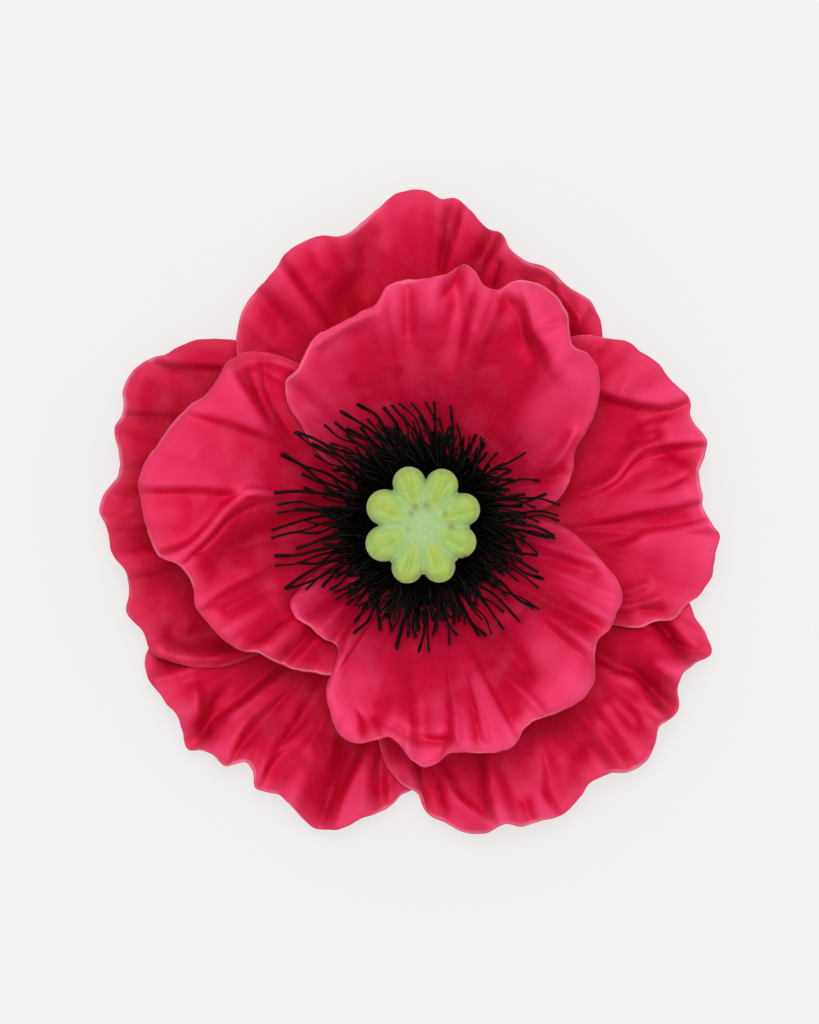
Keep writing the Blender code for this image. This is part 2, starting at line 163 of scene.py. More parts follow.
def lattice_noise(u: np.ndarray, v: np.ndarray, seed: int) -> np.ndarray:
    """Smooth random hills and hollows, about one to each unit square.

    Args:
        u: First coordinate.
        v: Second coordinate.
        seed: Which hills.

    Returns:
        Heights from about -1 to 1.
    """
    size = 97
    turn = np.random.default_rng(seed).uniform(0, 2 * math.pi, (size, size))
    left, low = np.floor(u).astype(int), np.floor(v).astype(int)
    a, b = u - left, v - low
    corners = []
    # Each corner of the square leans its own way, and 1.5 brings the hills up to about 1.
    for over, up in ((0, 0), (1, 0), (0, 1), (1, 1)):
        lean = turn[(left + over) % size, (low + up) % size]
        corners.append(np.cos(lean) * (a - over) + np.sin(lean) * (b - up))
    across, along = ramp(0, 1, a), ramp(0, 1, b)
    near = corners[0] * (1 - across) + corners[1] * across
    far = corners[2] * (1 - across) + corners[3] * across
    return 1.5 * (near * (1 - along) + far * along)


# ---------------------------------------------------------------- meshes


@dataclass
class Shape:
    """Corners, faces and per-corner values of a piece, gathered before its mesh is made."""

    corners: list[np.ndarray] = field(default_factory=list)
    faces: list[np.ndarray] = field(default_factory=list)
    slots: list[np.ndarray] = field(default_factory=list)
    values: dict[str, list[np.ndarray]] = field(default_factory=dict)
    count: int = 0

    def add(self, corners: np.ndarray, faces: list[tuple[np.ndarray, int]], **values: np.ndarray) -> None:
        """Adds a patch.

        Args:
            corners: The patch's corners, one a row, in millimetres.
            faces: Arrays of faces that count from the patch's own corners, each with its slot.
            **values: A number for each corner, by attribute name.
        """
        self.corners.append(corners)
        for rows, slot in faces:
            self.faces.append(rows + self.count)
            self.slots.append(np.full(len(rows), slot))
        for name, numbers in values.items():
            self.values.setdefault(name, []).append(np.asarray(numbers, float).ravel())
        self.count += len(corners)

    def add_turned(
        self, radius: np.ndarray, level: np.ndarray, turn: np.ndarray, **values: np.ndarray
    ) -> None:
        """Adds a body of rings, closed by a flat cap at its first and last one.

        Args:
            radius: Distances from the axis, as rings by columns.
            level: Heights, in the same form.
            turn: The columns' directions, in radians.
            **values: A number for each corner, by attribute name.
        """
        rings, columns = radius.shape
        corners = np.stack([radius * np.cos(turn), radius * np.sin(turn), level], axis=2)
        first = np.arange(columns)[None, :]
        last = first[:, ::-1] + (rings - 1) * columns
        faces = [(grid_faces(rings, columns, closed=True), 0), (first, 0), (last, 0)]
        self.add(corners.reshape(-1, 3), faces, **values)

    def build(self, name: str, finishes: list[Material], crease: float = 50.0) -> Object:
        """Makes the object.

        Args:
            name: The piece's name.
            finishes: Its materials, in slot order.
            crease: The angle past which an edge is shaded sharp.

        Returns:
            The object, linked to the scene.
        """
        mesh = bpy.data.meshes.new(name)
        rows = [row for part in self.faces for row in part.tolist()]
        mesh.from_pydata((np.concatenate(self.corners) * MM).tolist(), [], rows)
        mesh.polygons.foreach_set("material_index", np.concatenate(self.slots).astype(np.int32))
        for finish in finishes:
            mesh.materials.append(finish)
        for label, numbers in self.values.items():
            layer = mesh.attributes.new(label, "FLOAT", "POINT")
            layer.data.foreach_set("value", np.concatenate(numbers).astype(np.float32))
        mesh.shade_smooth()
        mesh.set_sharp_from_angle(angle=math.radians(crease))
        piece = bpy.data.objects.new(name, mesh)
        bpy.context.scene.collection.objects.link(piece)
        return piece


def grid_faces(rows: int, columns: int, closed: bool = False) -> np.ndarray:
    """Quads over a grid of corners, whose normal is its row direction crossed with its column's.

    Args:
        rows: Rows of corners.
        columns: Corners in a row.
        closed: Whether the last column joins the first.

    Returns:
        One quad a row.
    """
    across = columns if closed else columns - 1
    i, j = np.meshgrid(np.arange(rows - 1), np.arange(across), indexing="ij")
    i, j = i.ravel(), j.ravel()
    k = (j + 1) % columns
    return np.stack([i * columns + j, (i + 1) * columns + j, (i + 1) * columns + k, i * columns + k], 1)


def sheet_normals(middle: np.ndarray) -> np.ndarray:
    """Unit normals of a grid of places, upward for rows that run outward.

    Args:
        middle: Places as rows, columns, x y z.

    Returns:
        The normals, in the same form.
    """
    outward = np.gradient(middle, axis=0)
    across = np.gradient(middle, axis=1)
    normal = np.cross(outward, across)
    return normal / np.maximum(np.linalg.norm(normal, axis=2, keepdims=True), 1e-9)


def tube(path: np.ndarray, radii: np.ndarray, sides: int) -> tuple[np.ndarray, np.ndarray, np.ndarray]:
    """A round thread along a path, closed at both ends.

    Args:
        path: Places along the thread's middle.
        radii: Its radius at each.
        sides: How many sides it has.

    Returns:
        Its corners, its quads and, for each corner, how far along the thread it is.
    """
    ahead = np.gradient(path, axis=0)
    ahead /= np.linalg.norm(ahead, axis=1, keepdims=True)
    side = np.cross(ahead, [0.0, 0.0, 1.0])
    side /= np.linalg.norm(side, axis=1, keepdims=True)
    up = np.cross(side, ahead)
    turn = np.linspace(0, 2 * math.pi, sides, endpoint=False)
    ring = side[:, None] * np.cos(turn)[None, :, None] + up[:, None] * np.sin(turn)[None, :, None]
    corners = path[:, None] + ring * radii[:, None, None]
    along = np.repeat(np.linspace(0, 1, len(path)), sides)
    return corners.reshape(-1, 3), grid_faces(len(path), sides, closed=True), along


# ---------------------------------------------------------------- finishes


class NodeBench:
    """Adds and joins the nodes of one material."""

    def __init__(self, name: str) -> None:
        """Starts a material with its Principled shader.

        Args:
            name: The material's name.
        """
        self.material = bpy.data.materials.new(name)
        self.material.use_nodes = True
        self.tree = self.material.node_tree
        self.shader = self.tree.nodes["Principled BSDF"]

    def add(self, kind: str, inputs: dict[str, object] | None = None, **settings: object) -> bpy.types.Node:
        """Adds a node.

        Args:
            kind: The node's type.
            inputs: Values of its own sockets, by name.
            **settings: Its properties.

        Returns:
            The node.
        """
        node = self.tree.nodes.new(kind)
        for label, value in settings.items():
            setattr(node, label, value)
        for label, value in (inputs or {}).items():
            node.inputs[label].default_value = value
        return node

    def join(self, source: Socket, target: Socket) -> None:
        """Links two sockets."""
        self.tree.links.new(source, target)

    def feed(self, socket: str, source: Socket) -> None:
        """Links a value to one of the shader's own sockets."""
        self.join(source, self.shader.inputs[socket])

    def put(self, socket: str, value: float | tuple[float, ...]) -> None:
        """Sets one of the shader's own sockets."""
        self.shader.inputs[socket].default_value = value

    def attribute(self, name: str) -> Socket:
        """A corner value of the mesh, by name."""
        return self.add("ShaderNodeAttribute", attribute_name=name).outputs["Fac"]

    def noise(self, scale: float, detail: float) -> Socket:
        """A noise pattern in the object's own space.

        Args:
            scale: Hills in a metre.
            detail: Its levels of detail.

        Returns:
            The pattern's socket, from 0 to 1.
        """
        place = self.add("ShaderNodeTexCoord").outputs["Object"]
        node = self.add("ShaderNodeTexNoise", {"Scale": scale, "Detail": detail})
        self.join(place, node.inputs["Vector"])
        return node.outputs["Fac"]

    def times(self, first: Socket, second: Socket) -> Socket:
        """Multiplies two values.

        Args:
            first: One value.
            second: The other.

        Returns:
            The product's socket.
        """
        node = self.add("ShaderNodeMath", operation="MULTIPLY")
        self.join(first, node.inputs[0])
        self.join(second, node.inputs[1])
        return node.outputs["Value"]

    def overlay(self, share: Socket, under: Socket | Colour, colour: Colour) -> Socket:
        """Lays a colour over another by a share.

        Args:
            share: From 0 to 1.
            under: The colour beneath, or its socket.
            colour: The colour laid over it.

        Returns:
            The mixed colour's socket.
        """
        node = self.add("ShaderNodeMix", data_type="RGBA")
        beneath, above = (socket for socket in node.inputs if socket.type == "RGBA")
        self.join(share, node.inputs[0])
        if isinstance(under, tuple):
            beneath.default_value = (*under, 1)
        else:
            self.join(under, beneath)
        above.default_value = (*colour, 1)
        return next(socket for socket in node.outputs if socket.type == "RGBA")

    def stretch(
        self, value: Socket, low: float, high: float, to_low: float = 0.0, to_high: float = 1.0
    ) -> Socket:
        """Maps a range of a value to another range.

        Args:
            value: The value's socket.
            low: Start of the range.
            high: End of the range.
            to_low: What the start becomes.
            to_high: What the end becomes.

        Returns:
            The mapped value's socket.
        """
        ends = {"From Min": low, "From Max": high, "To Min": to_low, "To Max": to_high}
        node = self.add("ShaderNodeMapRange", ends)
        self.join(value, node.inputs["Value"])
        return node.outputs["Result"]

    def bump(self, height: Socket, strength: float, depth: float) -> None:
        """Presses a pattern into the surface.

        Args:
            height: The pattern.
            strength: The bump's strength.
            depth: Its depth, in metres.
        """
        node = self.add("ShaderNodeBump", {"Strength": strength, "Distance": depth})
        self.join(height, node.inputs["Height"])
        self.feed("Normal", node.outputs["Normal"])


@dataclass(frozen=True)
class PetalFinish:
    """Soft matte petal sheet: deep crimson in the folds as painted shade, pinker on ridges and rims as
    painted highlight, faint veins.
    """

    deep: Colour = (0.480, 0.0006, 0.020)
    middle: Colour = (0.650, 0.0024, 0.045)
    light: Colour = (0.830, 0.0380, 0.142)
    blush_and_highlight: Colour = (0.870, 0.0950, 0.225)
    claw: Colour = (0.300, 0.0004, 0.014)
    paler: Colour = (0.900, 0.2400, 0.380)
    roughness: Pair = (0.56, 0.70)
    specular: float = 0.14

    def make(self) -> Material:
        """Builds the material.

        Returns:
            The material.
        """
        bench = NodeBench("petal_sheet")
        # The tone attribute is painted light and shade: the deep colour where the sheet is shaded, the
        # light one where it is lit.
        tone = bench.attribute("tone")
        colour = bench.overlay(bench.stretch(tone, 0.0, 0.5), self.deep, self.middle)
        colour = bench.overlay(bench.stretch(tone, 0.5, 1.0), colour, self.light)
        # Faint pinker blotches are the sheet's own uneven colour.
        mottle = bench.stretch(bench.noise(130.0, 4.0), 0.50, 0.80, 0.0, 0.22)
        colour = bench.overlay(mottle, colour, self.blush_and_highlight)
        along = bench.attribute("along")
        # A pinker band along the rim is painted highlight on the raised rim.
        colour = bench.overlay(bench.stretch(along, 0.93, 1.0, 0.0, 0.28), colour, self.blush_and_highlight)
        # A thin paler line runs along parts of the rim.
        patches = bench.stretch(bench.noise(55.0, 2.0), 0.50, 0.62, 0.0, 0.60)
        line = bench.times(bench.stretch(along, 0.987, 0.999), patches)
        colour = bench.overlay(line, colour, self.paler)
        veins = self.veins(bench)
        # Dark streaks along the veins near the claw: partly a darker base, partly painted shade around the
        # fringe.
        near_claw = bench.stretch(bench.attribute("out"), 4.1, 3.0, 0.0, 0.55)
        streaks = bench.times(near_claw, bench.stretch(veins, 0.5, 0.9, 0.25, 1.0))
        bench.feed("Base Color", bench.overlay(streaks, colour, self.claw))
        low, high = self.roughness
        bench.feed("Roughness", bench.stretch(veins, 0.0, 1.0, low, high))
        bench.bump(veins, 0.5, 0.0002)
        bench.put("Specular IOR Level", self.specular)
        return bench.material

    @staticmethod
    def veins(bench: NodeBench) -> Socket:
        """Fine fibres that run from claw to rim, over a soft grain.

        Args:
            bench: The material's bench.

        Returns:
            The pattern's socket.
        """
        place = bench.add("ShaderNodeCombineXYZ")
        bench.join(bench.attribute("across"), place.inputs["X"])
        bench.join(bench.attribute("out"), place.inputs["Y"])
        fibres = bench.add("ShaderNodeTexNoise", {"Scale": 1.0, "Detail": 4.0, "Roughness": 0.6})
        bench.join(place.outputs["Vector"], fibres.inputs["Vector"])
        both = bench.add("ShaderNodeMath", operation="MULTIPLY_ADD")
        both.inputs[1].default_value = 0.35
        bench.join(bench.noise(1500.0, 2.0), both.inputs[0])
        bench.join(fibres.outputs["Fac"], both.inputs[2])
        return both.outputs["Value"]


@dataclass(frozen=True)
class CutEdgeFinish:
    """The pale, slightly rough edge where a petal was cut from its sheet."""

    pale: Colour = (0.86, 0.20, 0.30)
    stained: Colour = (0.78, 0.03, 0.11)

    def make(self) -> Material:
        """Builds the material.

        Returns:
            The material.
        """
        bench = NodeBench("petal_cut_edge")
        grain = bench.stretch(bench.noise(110.0, 4.0), 0.48, 0.68)
        bench.feed("Base Color", bench.overlay(grain, self.stained, self.pale))
        bench.feed("Roughness", bench.stretch(grain, 0.0, 1.0, 0.65, 0.85))
        bench.bump(grain, 0.3, 0.0001)
        return bench.material


@dataclass(frozen=True)
class PodFinish:
    """Yellow-green lobes, with a pale bluish bloom in the grooves and a few brown stains."""

    lobe: Colour = (0.31, 0.48, 0.088)
    crest: Colour = (0.40, 0.50, 0.075)
    bloom: Colour = (0.34, 0.51, 0.200)
    stain: Colour = (0.16, 0.13, 0.03)

    def make(self) -> Material:
        """Builds the material.

        Returns:
            The material.
        """
        bench = NodeBench("pod_skin")
        fine = bench.noise(420.0, 4.0)
        colour = bench.overlay(bench.stretch(fine, 0.35, 0.7), self.lobe, self.crest)
        colour = bench.overlay(bench.attribute("bloom"), colour, self.bloom)
        bench.feed("Base Color", bench.overlay(bench.attribute("stain"), colour, self.stain))
        bench.feed("Roughness", bench.stretch(fine, 0.3, 0.7, 0.42, 0.6))
        bench.bump(bench.noise(1300.0, 3.0), 0.25, 0.00012)
        bench.put("Specular IOR Level", 0.4)
        bench.put("Subsurface Weight", 0.25)
        bench.put("Subsurface Radius", (0.9, 1.0, 0.3))
        bench.put("Subsurface Scale", 0.0015)
        return bench.material


@dataclass(frozen=True)
class DarkFinish:
    """Near-black fringe or collar, dyed through, with a low uneven shine."""

    name: str
    dark: Colour
    paler: Colour
    roughness: float
    grain: float

    def make(self) -> Material:
        """Builds the material.

        Returns:
            The material.
        """
        bench = NodeBench(self.name)
        grain = bench.noise(self.grain, 3.0)
        bench.feed("Base Color", bench.overlay(bench.stretch(grain, 0.4, 0.75), self.dark, self.paler))
        rough = bench.stretch(grain, 0.3, 0.7, self.roughness - 0.08, self.roughness + 0.12)
        bench.feed("Roughness", rough)
        bench.bump(grain, 0.35, 0.0001)
        shine = bench.stretch(bench.attribute("along"), 0.2, 0.7, 0.02, 0.13)
        bench.feed("Specular IOR Level", shine)
        return bench.material


@dataclass(frozen=True)
class StalkFinish:
    """Green receptacle skin, with a pale pithy cut face."""

    skin: Colour = (0.12, 0.24, 0.045)
    ridge: Colour = (0.24, 0.38, 0.09)
    pith: Colour = (0.52, 0.58, 0.30)

    def make(self) -> Material:
        """Builds the material.

        Returns:
            The material.
        """
        bench = NodeBench("stalk_skin")
        fine = bench.stretch(bench.noise(600.0, 4.0), 0.35, 0.7)
        colour = bench.overlay(fine, self.skin, self.ridge)
        bench.feed("Base Color", bench.overlay(bench.attribute("pith"), colour, self.pith))
        bench.feed("Roughness", bench.stretch(fine, 0.0, 1.0, 0.5, 0.7))
        bench.bump(bench.noise(1500.0, 3.0), 0.3, 0.00015)
        return bench.material


# ---------------------------------------------------------------- petals


class Lie(Enum):
    """How a petal rises from its claw: its height against the distance from the axis."""

    OUTER = ((7, 0), (14, -0.3), (24, -1.0), (36, -0.8), (48, 1.8), (60, 6), (70, 9.5), (80, 12))
    INNER = ((7, 0), (15, 0.2), (21, 2), (29, 8), (38, 16), (48, 24), (57, 28.5), (68, 31))

    def height(self, radius: np.ndarray) -> np.ndarray:
        """The rise above the claw at each distance from the axis."""
        curve = smooth_curve(np.array(self.value, float), 400)
        return np.interp(radius, curve[:, 0], curve[:, 1])


@dataclass(frozen=True)
class Fold:
    """A ridge, or a valley if its height is negative, along a path from hub to rim.

    Each side has its own width, so one side can fall steeply and the other gently. The power
    sets the top: 2 is round, and nearer to 1 is a crisp line.
    """

    path: tuple[Polar, ...]
    height: float
    left: float
    right: float
    power: float = 1.45

    def relief(self, x: np.ndarray, y: np.ndarray) -> np.ndarray:
        """What the fold adds to a sheet.

        Args:
            x: Plan positions.
            y: Plan positions.

        Returns:
            The added heights.
        """
        line = to_xy(self.path)
        if len(line) > 2:
            line = smooth_curve(line, 5 * len(line))
        nearest = np.full(x.shape, 1e9)
        reached = np.zeros(x.shape)
        leftward = np.zeros(x.shape)
        lengths = np.linalg.norm(np.diff(line, axis=0), axis=1)
        before = 0.0
        for start, end, length in zip(line, line[1:], lengths):
            run = (end - start) / length
            over, up = x - start[0], y - start[1]
            along = np.clip(over * run[0] + up * run[1], 0, length)
            away = np.hypot(over - run[0] * along, up - run[1] * along)
            closer = away < nearest
            nearest = np.where(closer, away, nearest)
            reached = np.where(closer, before + along, reached)
            leftward = np.where(closer, run[0] * up - run[1] * over, leftward)
            before += length
        share = ramp(-1.0, 1.0, leftward / (0.35 * (self.left + self.right)))
        width = self.right + (self.left - self.right) * share
        grown = ramp(-0.2, 0.4, reached / before)
        return self.height * grown * np.exp(-((nearest / width) ** self.power))


@dataclass
class Stack:
    """The sheets laid so far, as the greatest height over each cell of the floor."""

    cell: float = 0.7
    half: int = 124

    def __post_init__(self) -> None:
        """Starts with a bare floor."""
        self.field = np.full((2 * self.half + 1, 2 * self.half + 1), BARE_FLOOR)

    def lay(self, places: np.ndarray) -> None:
        """Adds a sheet's upper side.

        Args:
            places: Its places as rows, columns, x y z.
        """
        finer = np.concatenate([places, (places[1:] + places[:-1]) / 2], axis=0)
        finer = np.concatenate([finer[:, 1:], finer[:, :-1], (finer[:, 1:] + finer[:, :-1]) / 2], axis=1)
        spots = np.rint(finer[..., :2] / self.cell).astype(int) + self.half
        np.maximum.at(self.field, (spots[..., 1].ravel(), spots[..., 0].ravel()), finer[..., 2].ravel())

    def spread(self, reach: float) -> np.ndarray:
        """The greatest height within a distance of each cell.

        Args:
            reach: The distance.

        Returns:
            The spread field.
        """
        cells = int(math.ceil(reach / self.cell))
        wide = self.field.copy()
        for up in range(-cells, cells + 1):
            for over in range(-cells, cells + 1):
                if math.hypot(up, over) * self.cell <= reach + 0.01:
                    wide = np.maximum(wide, np.roll(self.field, (up, over), axis=(0, 1)))
        return wide

    def over(self, x: np.ndarray, y: np.ndarray, reach: float) -> np.ndarray:
        """The greatest height laid near each place.

        Args:
            x: Plan positions.
            y: Plan positions.
            reach: How near.

        Returns:
            The heights, far below the floor where nothing lies.
        """
        wide = self.spread(reach)
        i = np.clip(y / self.cell + self.half, 0, 2 * self.half - 1.001)
        j = np.clip(x / self.cell + self.half, 0, 2 * self.half - 1.001)
        low, left = np.floor(i).astype(int), np.floor(j).astype(int)
        a, b = i - low, j - left
        return (
            wide[low, left] * (1 - a) * (1 - b)
            + wide[low + 1, left] * a * (1 - b)
            + wide[low, left + 1] * (1 - a) * b
            + wide[low + 1, left + 1] * a * b
        )


# A petal's brightness most of the way to its rim, and how much it grows from claw to rim. Both are painted
# light and shade: the low outer petals are painted darker, each rim lighter and each claw darker, which is
# partly a darker base.
SHADES = {Lie.OUTER: (0.33, 0.75), Lie.INNER: (0.60, 0.4)}

# Crinkles are laid out as if on a ring of this radius; fibres by a count in a radian and a length.
CRINKLE_RING = 46
FIBRES = 26
FIBRE_LENGTH = 9


@dataclass
class Petal:
    """One petal: a thin bent sheet on straight spokes from its claw to its scalloped rim.

    The shade reach is how far the petals above reach in each whole degree: the sheet's colour is painted
    darker under it and just beyond it, as painted shade from the petals above.
    """

    name: str
    lie: Lie
    seat: float
    rise: float
    rim: tuple[Polar, ...]
    folds: tuple[Fold, ...]
    seed: int
    flare: tuple[Polar, ...]
    # Painted light and shade for the whole petal: lighter or darker for how the light falls on it.
    shading_offset: float = 0.0
    crinkle: float = 0.55
    thick: float = 0.78
    gap: float = 0.28
    claw_radius: float = 7.2
    claw_share: float = 0.45
    columns: int = 300
    rows: int = 100
    ruffle: float = 1.5
    band: float = 0.17
    lip: float = 0.028
    nibble: float = 0.22
    shade_reach: np.ndarray | None = None

    @property
    def node(self) -> str:
        """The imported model's name for this petal."""
        _, ring, place = self.name.split("_", 2)
        return f"{ring}_petal_{place}"

    def plan(self) -> tuple[np.ndarray, np.ndarray, np.ndarray]:
        """Lays the spokes out in plan.

        Returns:
            x, y and the share along the spoke, each as rows by columns.
        """
        spread = OUTER_SPREAD - SPREAD_DROP * self.seat if self.lie is Lie.OUTER else INNER_SPREAD
        edge = smooth_curve(to_xy(self.rim), self.columns) * spread
        angle = np.degrees(np.unwrap(np.arctan2(edge[:, 1], edge[:, 0])))
        angle += 360 * round((self.rim[0][0] - angle[0]) / 360)
        reach = np.hypot(edge[:, 0], edge[:, 1])
        travel = np.linspace(0, 1, self.columns)
        bites = lattice_noise(travel * 75, np.zeros(self.columns), self.seed + 5)
        reach = reach + self.nibble * bites * ramp(0.0, 0.1, travel) * ramp(0.0, 0.1, 1 - travel)
        self.angle, self.reach = angle, reach
        middle = (self.rim[0][0] + self.rim[-1][0]) / 2
        claw = np.radians(middle + (angle - middle) * self.claw_share)
        turn = np.radians(angle)
        along = np.linspace(0, 1, self.rows)[:, None] ** 0.92
        x = self.claw_radius * np.cos(claw) * (1 - along) + reach * np.cos(turn) * along
        y = self.claw_radius * np.sin(claw) * (1 - along) + reach * np.sin(turn) * along
        return x, y, np.broadcast_to(along, x.shape)

    def ruffles(self, along: np.ndarray) -> np.ndarray:
        """The rim's waves: it rises where it is notched and dips at each scallop.

        Args:
            along: Share along each spoke.

        Returns:
            The added heights.
        """
        scallop = self.columns / 28
        notch = blurred(self.reach, scallop, 0) - self.reach
        notch = np.clip(blurred(notch, 1.5, 0), -2.6, 2.6)
        notch *= ramp(0.5, 0.75, self.reach / self.reach.max())
        return self.ruffle * notch * ramp(0.35, 1.0, along) ** 1.3

    def crumple(self, x: np.ndarray, y: np.ndarray, along: np.ndarray) -> np.ndarray:
        """Crinkles that fan out from claw to rim: crisp ridges over soft pillows.

        Args:
            x: Plan positions.
            y: Plan positions.
            along: Share along each spoke.

        Returns:
            The added heights.
        """
        radius = np.hypot(x, y)
        arc = np.radians(np.broadcast_to(self.angle, x.shape)) * CRINKLE_RING
        bend = 2.6 * lattice_noise(arc / 13, radius / 13, self.seed + 7)
        wander = 2.0 * lattice_noise(arc / 9, radius / 9, self.seed + 8)
        broad = lattice_noise((arc + bend) / 9.0, (radius + wander) / 16, self.seed)
        crisp = 0.45 - np.abs(lattice_noise((arc + bend) / 8.0, (radius + wander) / 13, self.seed + 1))
        narrow = np.abs(lattice_noise((arc + 1.4 * bend) / 3.6, (radius + wander) / 7, self.seed + 2)) - 0.3
        fine = lattice_noise((arc + bend) / 1.9, radius / 2.8, self.seed + 3)
        thin = np.abs(lattice_noise((arc + bend) / 9.0, (radius + wander) / 24, self.seed + 6))
        lined = ramp(-0.2, 0.4, lattice_noise(arc / 17, radius / 15, self.seed + 9))
        patch = ramp(-0.3, 0.5, lattice_noise(arc / 14, radius / 11, self.seed + 4))
        lines = 0.9 * lined * np.exp(-thin / 0.12)
        strength = self.crinkle * ramp(0.2, 0.95, along)
        return strength * (0.6 * broad + lines + patch * (0.8 * crisp + 0.4 * narrow + 0.10 * fine))

    def flatten(self, along: np.ndarray) -> np.ndarray:
        """How far the rim bends back down, against a sheet that keeps on rising.

        Args:
            along: Share along each spoke.

        Returns:
            The heights taken off.
        """
        turns = np.array(self.flare, float)
        amount = np.interp(self.angle, turns[:, 0], turns[:, 1])
        near = np.clip((along - (1 - self.band)) / self.band, 0, 1)
        lip = np.clip((along - (1 - self.lip)) / self.lip, 0, 1)
        return blurred(amount, 6.0, 0) * near**2 + 0.3 * lip**2

    def drape(self, x: np.ndarray, y: np.ndarray, height: np.ndarray, stack: Stack) -> np.ndarray:
        """Lifts the sheet over what is already laid.

        Args:
            x: Plan positions.
            y: Plan positions.
            height: The sheet's own heights.
            stack: The sheets below.

        Returns:
            Heights that clear the sheets below.
        """
        need = stack.over(x, y, 1.5) + self.thick * 0.5 + self.gap
        rise = np.maximum(need - height, 0)
        for reach in (7.0, 4.0):
            smooth = blurred(blurred(rise, reach, 0), reach, 1)
            rise = np.maximum(rise, smooth)
        rise = np.maximum(rise, blurred(blurred(rise, 2.0, 0), 2.0, 1))
        return height + blurred(blurred(rise, 1.8, 0), 1.8, 1) + 0.1 * ramp(0.0, 1.0, rise)

    def tone(
        self, x: np.ndarray, y: np.ndarray, along: np.ndarray, relief: np.ndarray, upward: np.ndarray
    ) -> np.ndarray:
        """How bright the sheet's colour is, with light and shade painted in: lighter on ridges, on level
        ground and toward the rim, darker in hollows, toward the claw and under the petals above.

        Args:
            x: Plan positions.
            y: Plan positions.
            along: Share along each spoke.
            relief: What the folds and crinkles add.
            upward: The normals' upward part.

        Returns:
            The brightness, from 0 to 1.
        """
        base, rim_light_gain = SHADES[self.lie]
        # Painted light and shade: ridges and level, upward-facing ground lighter, hollows and steep flanks
        # darker.
        tone = base + self.shading_offset + 0.10 * relief + 0.9 * (upward - 0.8) + rim_light_gain * (along - 0.82)
        # Painted shade under the petals above and just beyond their rims.
        if self.shade_reach is not None:
            around = np.degrees(np.arctan2(y, x)) % 360
            reach = np.interp(around, np.arange(361), self.shade_reach)
            beyond = np.maximum(np.hypot(x, y) - reach, 0)
            tone = tone - 0.30 * np.exp(-beyond / 4.0)
        return np.clip(tone, 0, 1)

    def build(self, stack: Stack, finishes: list[Material]) -> Object:
        """Makes the petal and lays it on the stack.

        Args:
            stack: The sheets below, to which this one is added.
            finishes: The sheet's and the cut edge's materials.

        Returns:
            The petal's object.
        """
        x, y, along = self.plan()
        radius = np.hypot(x, y)
        relief = sum(fold.relief(x, y) for fold in self.folds) + self.crumple(x, y, along)
        height = self.seat + self.rise * self.lie.height(radius) + self.ruffles(along) + relief
        height = height - self.flatten(along)
        # No petal sinks into the surface that the flower lies on.
        height = soft_max(height, np.full_like(height, self.thick / 2 + 0.3), 0.3)
        height = self.drape(x, y, height, stack)
        middle = np.stack([x, y, height], axis=2)
        normal = sheet_normals(middle)
        top, bottom = middle + normal * self.thick / 2, middle - normal * self.thick / 2
        stack.lay(top)
        shape = Shape()
        # The sheet's colour tone, with light and shade painted in.
        tone = self.tone(x, y, along, relief, normal[..., 2])
        across = np.radians(np.broadcast_to(self.angle, x.shape)) * FIBRES
        out = radius / FIBRE_LENGTH
        self.add_sides(shape, top, bottom, tone=tone, along=along, across=across, out=out)
        return shape.build(self.name, finishes)

    def add_sides(self, shape: Shape, top: np.ndarray, bottom: np.ndarray, **values: np.ndarray) -> None:
        """Adds both faces of the sheet and the cut edge between them.

        Args:
            shape: What the petal is gathered in.
            top: The upper side, as rows, columns, x y z.
            bottom: The lower side.
            **values: Per-corner values of one side.
        """
        rows, columns = top.shape[:2]
        upper = grid_faces(rows, columns)
        lower = upper[:, ::-1] + rows * columns
        index = np.arange(rows * columns).reshape(rows, columns)
        border = np.concatenate([index[:-1, 0], index[-1, :-1], index[:0:-1, -1], index[0, :0:-1]])
        high, low = top.reshape(-1, 3)[border], bottom.reshape(-1, 3)[border]
        middle, half = (high + low) / 2, (high - low) / 2
        tangent = np.roll(middle, -1, axis=0) - np.roll(middle, 1, axis=0)
        outward = np.cross(tangent, half)
        outward /= np.maximum(np.linalg.norm(outward, axis=1, keepdims=True), 1e-9)
        bulge = 0.36 * self.thick
        turns = np.radians([38, 90, 142])
        rounds = [middle + half * math.cos(t) + outward * bulge * math.sin(t) for t in turns]
        count, lot = len(border), rows * columns
        between = (2 * lot + count * k + np.arange(count) for k in range(len(turns)))
        levels = [border, *between, border + lot]
        strips = [
            np.stack([upper_row, lower_row, np.roll(lower_row, -1), np.roll(upper_row, -1)], axis=1)
            for upper_row, lower_row in zip(levels, levels[1:])
        ]
        spread = {
            name: np.concatenate([v.ravel(), v.ravel(), *(v.ravel()[border],) * len(turns)])
            for name, v in values.items()
        }
        corners = np.concatenate([top.reshape(-1, 3), bottom.reshape(-1, 3), *rounds])
        shape.add(corners, [(upper, 0), (lower, 0), (np.concatenate(strips), 1)], **spread)


def swell(height: float, width: float, *path: Polar) -> Fold:
    """A soft round swell, or a hollow, through the given points."""
    return Fold(path, height, width, width, 2.0)


def crease(height: float, width: float, *path: Polar) -> Fold:
    """A crisp even ridge, or a groove, through the given points."""
    return Fold(path, height, width, width, 1.3)


def crest(height: float, left: float, right: float, *path: Polar) -> Fold:
    """A crisp ridge with a steep and a gentle side; left is the counterclockwise side."""
    return Fold(path, height, left, right)


